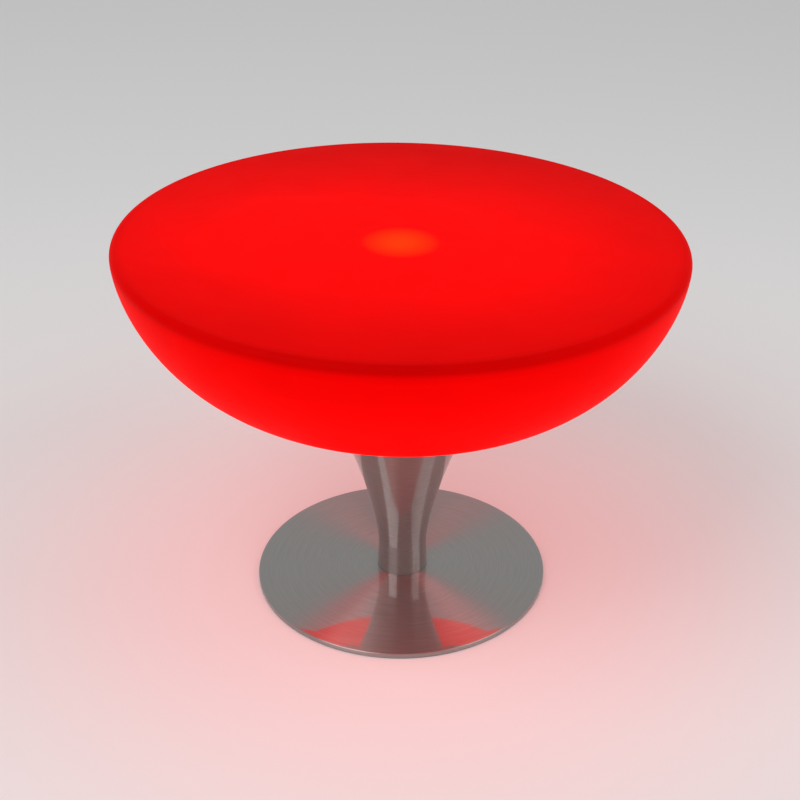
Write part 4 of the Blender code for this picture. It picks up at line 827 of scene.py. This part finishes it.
def control_bore(name, behind, before, floor, place):
    """A cutter through the panel: one radius behind the floor, one before it, and a chamfer at the face."""
    low, high, mouth = -BODY_DEPTH - OVERRUN, PANEL_FACE + OVERRUN, before + BORE_CHAMFER
    outline = [(0, low), (behind, low), (behind, floor), (before, floor)]
    outline += [(before, PANEL_FACE - BORE_CHAMFER), (mouth, PANEL_FACE), (mouth, high), (0, high)]
    return turned(name, outline, CONTROL_SIDES, place)


def make_panel():
    """The panel: a plate with a rounded edge, its body behind, two ears for the cap, the button's bore and
    the socket's well."""
    plate = eased(slab("panel", panel_outline(), PANEL_BACK, PANEL_FACE), PANEL_EASING, steps=3)
    plate.data.transform(panel_place)
    inside = PANEL_FACE - PANEL_FLANGE / 2
    joined = [slab("panel_body", body_outline(), -BODY_DEPTH, inside, panel_place)]
    drop = inside - HINGE_RISE
    ear = [(drop, -KNUCKLE_RADIUS), (drop, KNUCKLE_RADIUS)] + arc((0, 0), KNUCKLE_RADIUS, 90, -90, steps=12)
    for side in (-1, 1):
        x = side * (KNUCKLE_LENGTH / 2 + GAP + EAR_THICKNESS / 2)
        sideways = hinge_place @ Matrix(((0, 0, 1, x), (0, 1, 0, 0), (1, 0, 0, 0), (0, 0, 0, 1)))
        joined.append(slab(f"ear_{side}", ear, -EAR_THICKNESS / 2, EAR_THICKNESS / 2, sideways))
    worked(plate, "UNION", joined)
    button_seat, well_floor = PANEL_FACE - BUTTON_STEM, PANEL_FACE - WELL_DEPTH
    collar, stem = BUTTON_COLLAR_RADIUS + GAP, BUTTON_RADIUS + GAP
    half = KNUCKLE_LENGTH / 2 + GAP + EAR_THICKNESS + OVERRUN
    pin = drum(HINGE_PIN_RADIUS + GAP, -half, half)
    cutters = [
        control_bore("bore", collar, stem, button_seat, button_place),
        control_bore("well", SOCKET_RADIUS + GAP, WELL_RADIUS, well_floor, socket_place),
        turned("pin_bore", pin, HOLE_SIDES, hinge_place @ along_hinge),
    ]
    cutters += panel_screw_holes(0, PANEL_FACE + OVERRUN)
    return piece(worked(plate, "DIFFERENCE", cutters), "control_panel")


def make_panel_gasket():
    """The rubber pad between the panel and the bowl, with the body's window and the two screw holes."""
    pad = eased(slab("panel_seal", panel_outline(), GAP, GAP + PANEL_GASKET), PANEL_GASKET_EASING)
    pad.data.transform(panel_place)
    low, high = -OVERRUN, PANEL_GASKET + OVERRUN
    cutters = [slab("window", body_outline(GAP), low, high, panel_place)]
    cutters += panel_screw_holes(low, high)
    return piece(worked(pad, "DIFFERENCE", cutters), "panel_gasket")


def make_button():
    """The push button, its face dished for a finger."""
    collar_high = PANEL_FACE - BUTTON_STEM - GAP
    collar_low = collar_high - BUTTON_COLLAR_THICKNESS
    face = PANEL_FACE + BUTTON_PROUD
    edge = (BUTTON_RADIUS - BUTTON_EDGE, face - BUTTON_EDGE)
    section = [(0, collar_low), (BUTTON_COLLAR_RADIUS, collar_low), (BUTTON_COLLAR_RADIUS, collar_high)]
    section += [(BUTTON_RADIUS, collar_high)] + arc(edge, BUTTON_EDGE, 0, 90, steps=5)
    dish_radius, dish_steps = BUTTON_RADIUS - 2 * BUTTON_EDGE, 8
    for i in range(dish_steps, -1, -1):
        share = i / dish_steps
        section.append((dish_radius * share, face - BUTTON_DISH * (1 - share**2)))
    return piece(turned("button", section, CONTROL_SIDES, button_place), "power_button", "button")


def make_socket():
    """The charging socket: a flange behind the panel, a stem, and a bore with its pin."""
    face, flange = PANEL_FACE - WELL_DEPTH, -BODY_DEPTH - GAP
    back, floor = flange - SOCKET_FLANGE_THICKNESS, face - SOCKET_BORE_DEPTH
    section = [(0, back), (SOCKET_FLANGE_RADIUS, back), (SOCKET_FLANGE_RADIUS, flange)]
    section += [(SOCKET_RADIUS, flange), (SOCKET_RADIUS, face), (SOCKET_BORE_RADIUS + SOCKET_MOUTH, face)]
    section += [(SOCKET_BORE_RADIUS, face - SOCKET_MOUTH), (SOCKET_BORE_RADIUS, floor)]
    section += [(SOCKET_PIN_RADIUS, floor)]
    section += arc((0, face - SOCKET_PIN_DEPTH - SOCKET_PIN_RADIUS), SOCKET_PIN_RADIUS, 0, 90, steps=5)
    return piece(turned("socket", section, SOCKET_SIDES, socket_place), "charge_socket")


def make_cap():
    """The socket's rubber cap: a lid with a plug lip, a finger tab and a knuckle on the pin. It is made
    with the pin along X and the lid towards +Y, and then placed."""
    under = PANEL_FACE + GAP - HINGE_RISE
    top = under + CAP_THICKNESS
    half = KNUCKLE_LENGTH / 2
    disc = [(x, y + HINGE_OFFSET) for x, y in on_circle(CAP_RADIUS, CONTROL_SIDES)]
    tab_middle, strap_middle = (0, HINGE_OFFSET + CAP_TAB_LENGTH / 2), (0, HINGE_OFFSET / 2)
    tab = rounded_rectangle(CAP_TAB_WIDTH, CAP_TAB_LENGTH, CAP_TAB_CORNER, tab_middle)
    strap = rounded_rectangle(KNUCKLE_LENGTH, HINGE_OFFSET, CAP_STRAP_CORNER, strap_middle, steps=1)
    lid = slab("cap", disc, under, top)
    worked(lid, "UNION", [slab("tab", tab, under, top), slab("strap", strap, under, top)])
    lid = eased(lid, CAP_EASING)
    lip = drum(CAP_LIP_RADIUS, under - GAP - CAP_LIP_DEPTH, under + CAP_THICKNESS / 2)
    lip = turned("lip", lip, SOCKET_SIDES, Matrix.Translation((0, HINGE_OFFSET, 0)))
    knuckle = turned("knuckle", drum(KNUCKLE_RADIUS, -half, half), KNUCKLE_SIDES, along_hinge)
    worked(lid, "UNION", [lip, knuckle])
    pin = drum(HINGE_PIN_RADIUS + GAP, -half - OVERRUN, half + OVERRUN)
    worked(lid, "DIFFERENCE", [turned("cap_bore", pin, HOLE_SIDES, along_hinge)])
    lid.data.transform(hinge_place)
    return piece(lid, "charge_cap", "cap")


make_bowl()
make_column()
make_cover()
make_floor_ring()
make_ballast()
make_flange()
make_gasket()
make_screws()
make_panel()
make_panel_gasket()
make_button()
make_socket()
make_cap()


# Studio


def make_studio():
    """A plain pale floor, an even pale sky of the same tone and two large soft lamps."""
    edge = [(x, y, 0) for x, y in on_circle(FLOOR_RADIUS, DISC_SIDES)]
    floor = shape("floor", edge, [list(range(DISC_SIDES))])
    look, tree, shader, place = new_look("pale_floor", "#EEEEEE", 0.9, Specular_IOR_Level=0.1)
    cloud = add(tree, "ShaderNodeTexNoise", {"Vector": place, "Scale": 1 / (300 * MM)})
    gloss = add(tree, "ShaderNodeMapRange", {"Value": cloud, "To Min": 0.86, "To Max": 0.94})
    feed(tree, shader, Roughness=gloss)
    floor.data.materials.append(look)
    world = bpy.data.worlds.new("studio")
    bpy.context.scene.world = world
    world.use_nodes = True
    background = world.node_tree.nodes["Background"]
    background.inputs["Color"].default_value = linear("#E6E6E6")
    background.inputs["Strength"].default_value = SKY_STRENGTH
    for name, at, power, size in STUDIO_LAMPS:
        lamp = bpy.data.lights.new(name, "AREA")
        lamp.energy, lamp.size = power, size
        holder = bpy.data.objects.new(name, lamp)
        bpy.context.scene.collection.objects.link(holder)
        holder.location = at
        holder.rotation_mode = "QUATERNION"
        holder.rotation_quaternion = (Vector(LAMPS_POINT_AT) - Vector(at)).to_track_quat("-Z", "Y")


def make_camera():
    """The photograph's place: 1.78 m in front and 1.3 m up, looking 29 degrees down. The photograph is cut
    from the left of a wider picture, so the camera looks a little past the table and its frame is shifted
    back."""
    data = bpy.data.cameras.new("camera")
    data.sensor_width, data.lens = SENSOR_WIDTH, SENSOR_WIDTH * FOCAL_LENGTH / PICTURE_WIDTH
    data.shift_x = 0.5 - PICTURE_CENTRE / PICTURE_WIDTH
    camera = bpy.data.objects.new("camera", data)
    bpy.context.scene.collection.objects.link(camera)
    level, down = math.cos(CAMERA_PITCH), math.sin(CAMERA_PITCH)
    forward = Vector((math.sin(CAMERA_YAW) * level, math.cos(CAMERA_YAW) * level, -down))
    right = forward.cross(Vector((0, 0, 1))).normalized()
    up = right.cross(forward)
    tip, tilt = math.cos(CAMERA_ROLL), math.sin(CAMERA_ROLL)
    right, up = right * tip + up * tilt, up * tip - right * tilt
    turn = Matrix((right, up, -forward)).transposed().to_4x4()
    camera.matrix_world = Matrix.Translation(CAMERA_PLACE) @ turn
    bpy.context.scene.camera = camera


make_studio()
make_camera()
bpy.context.scene.view_settings.view_transform = "Standard"
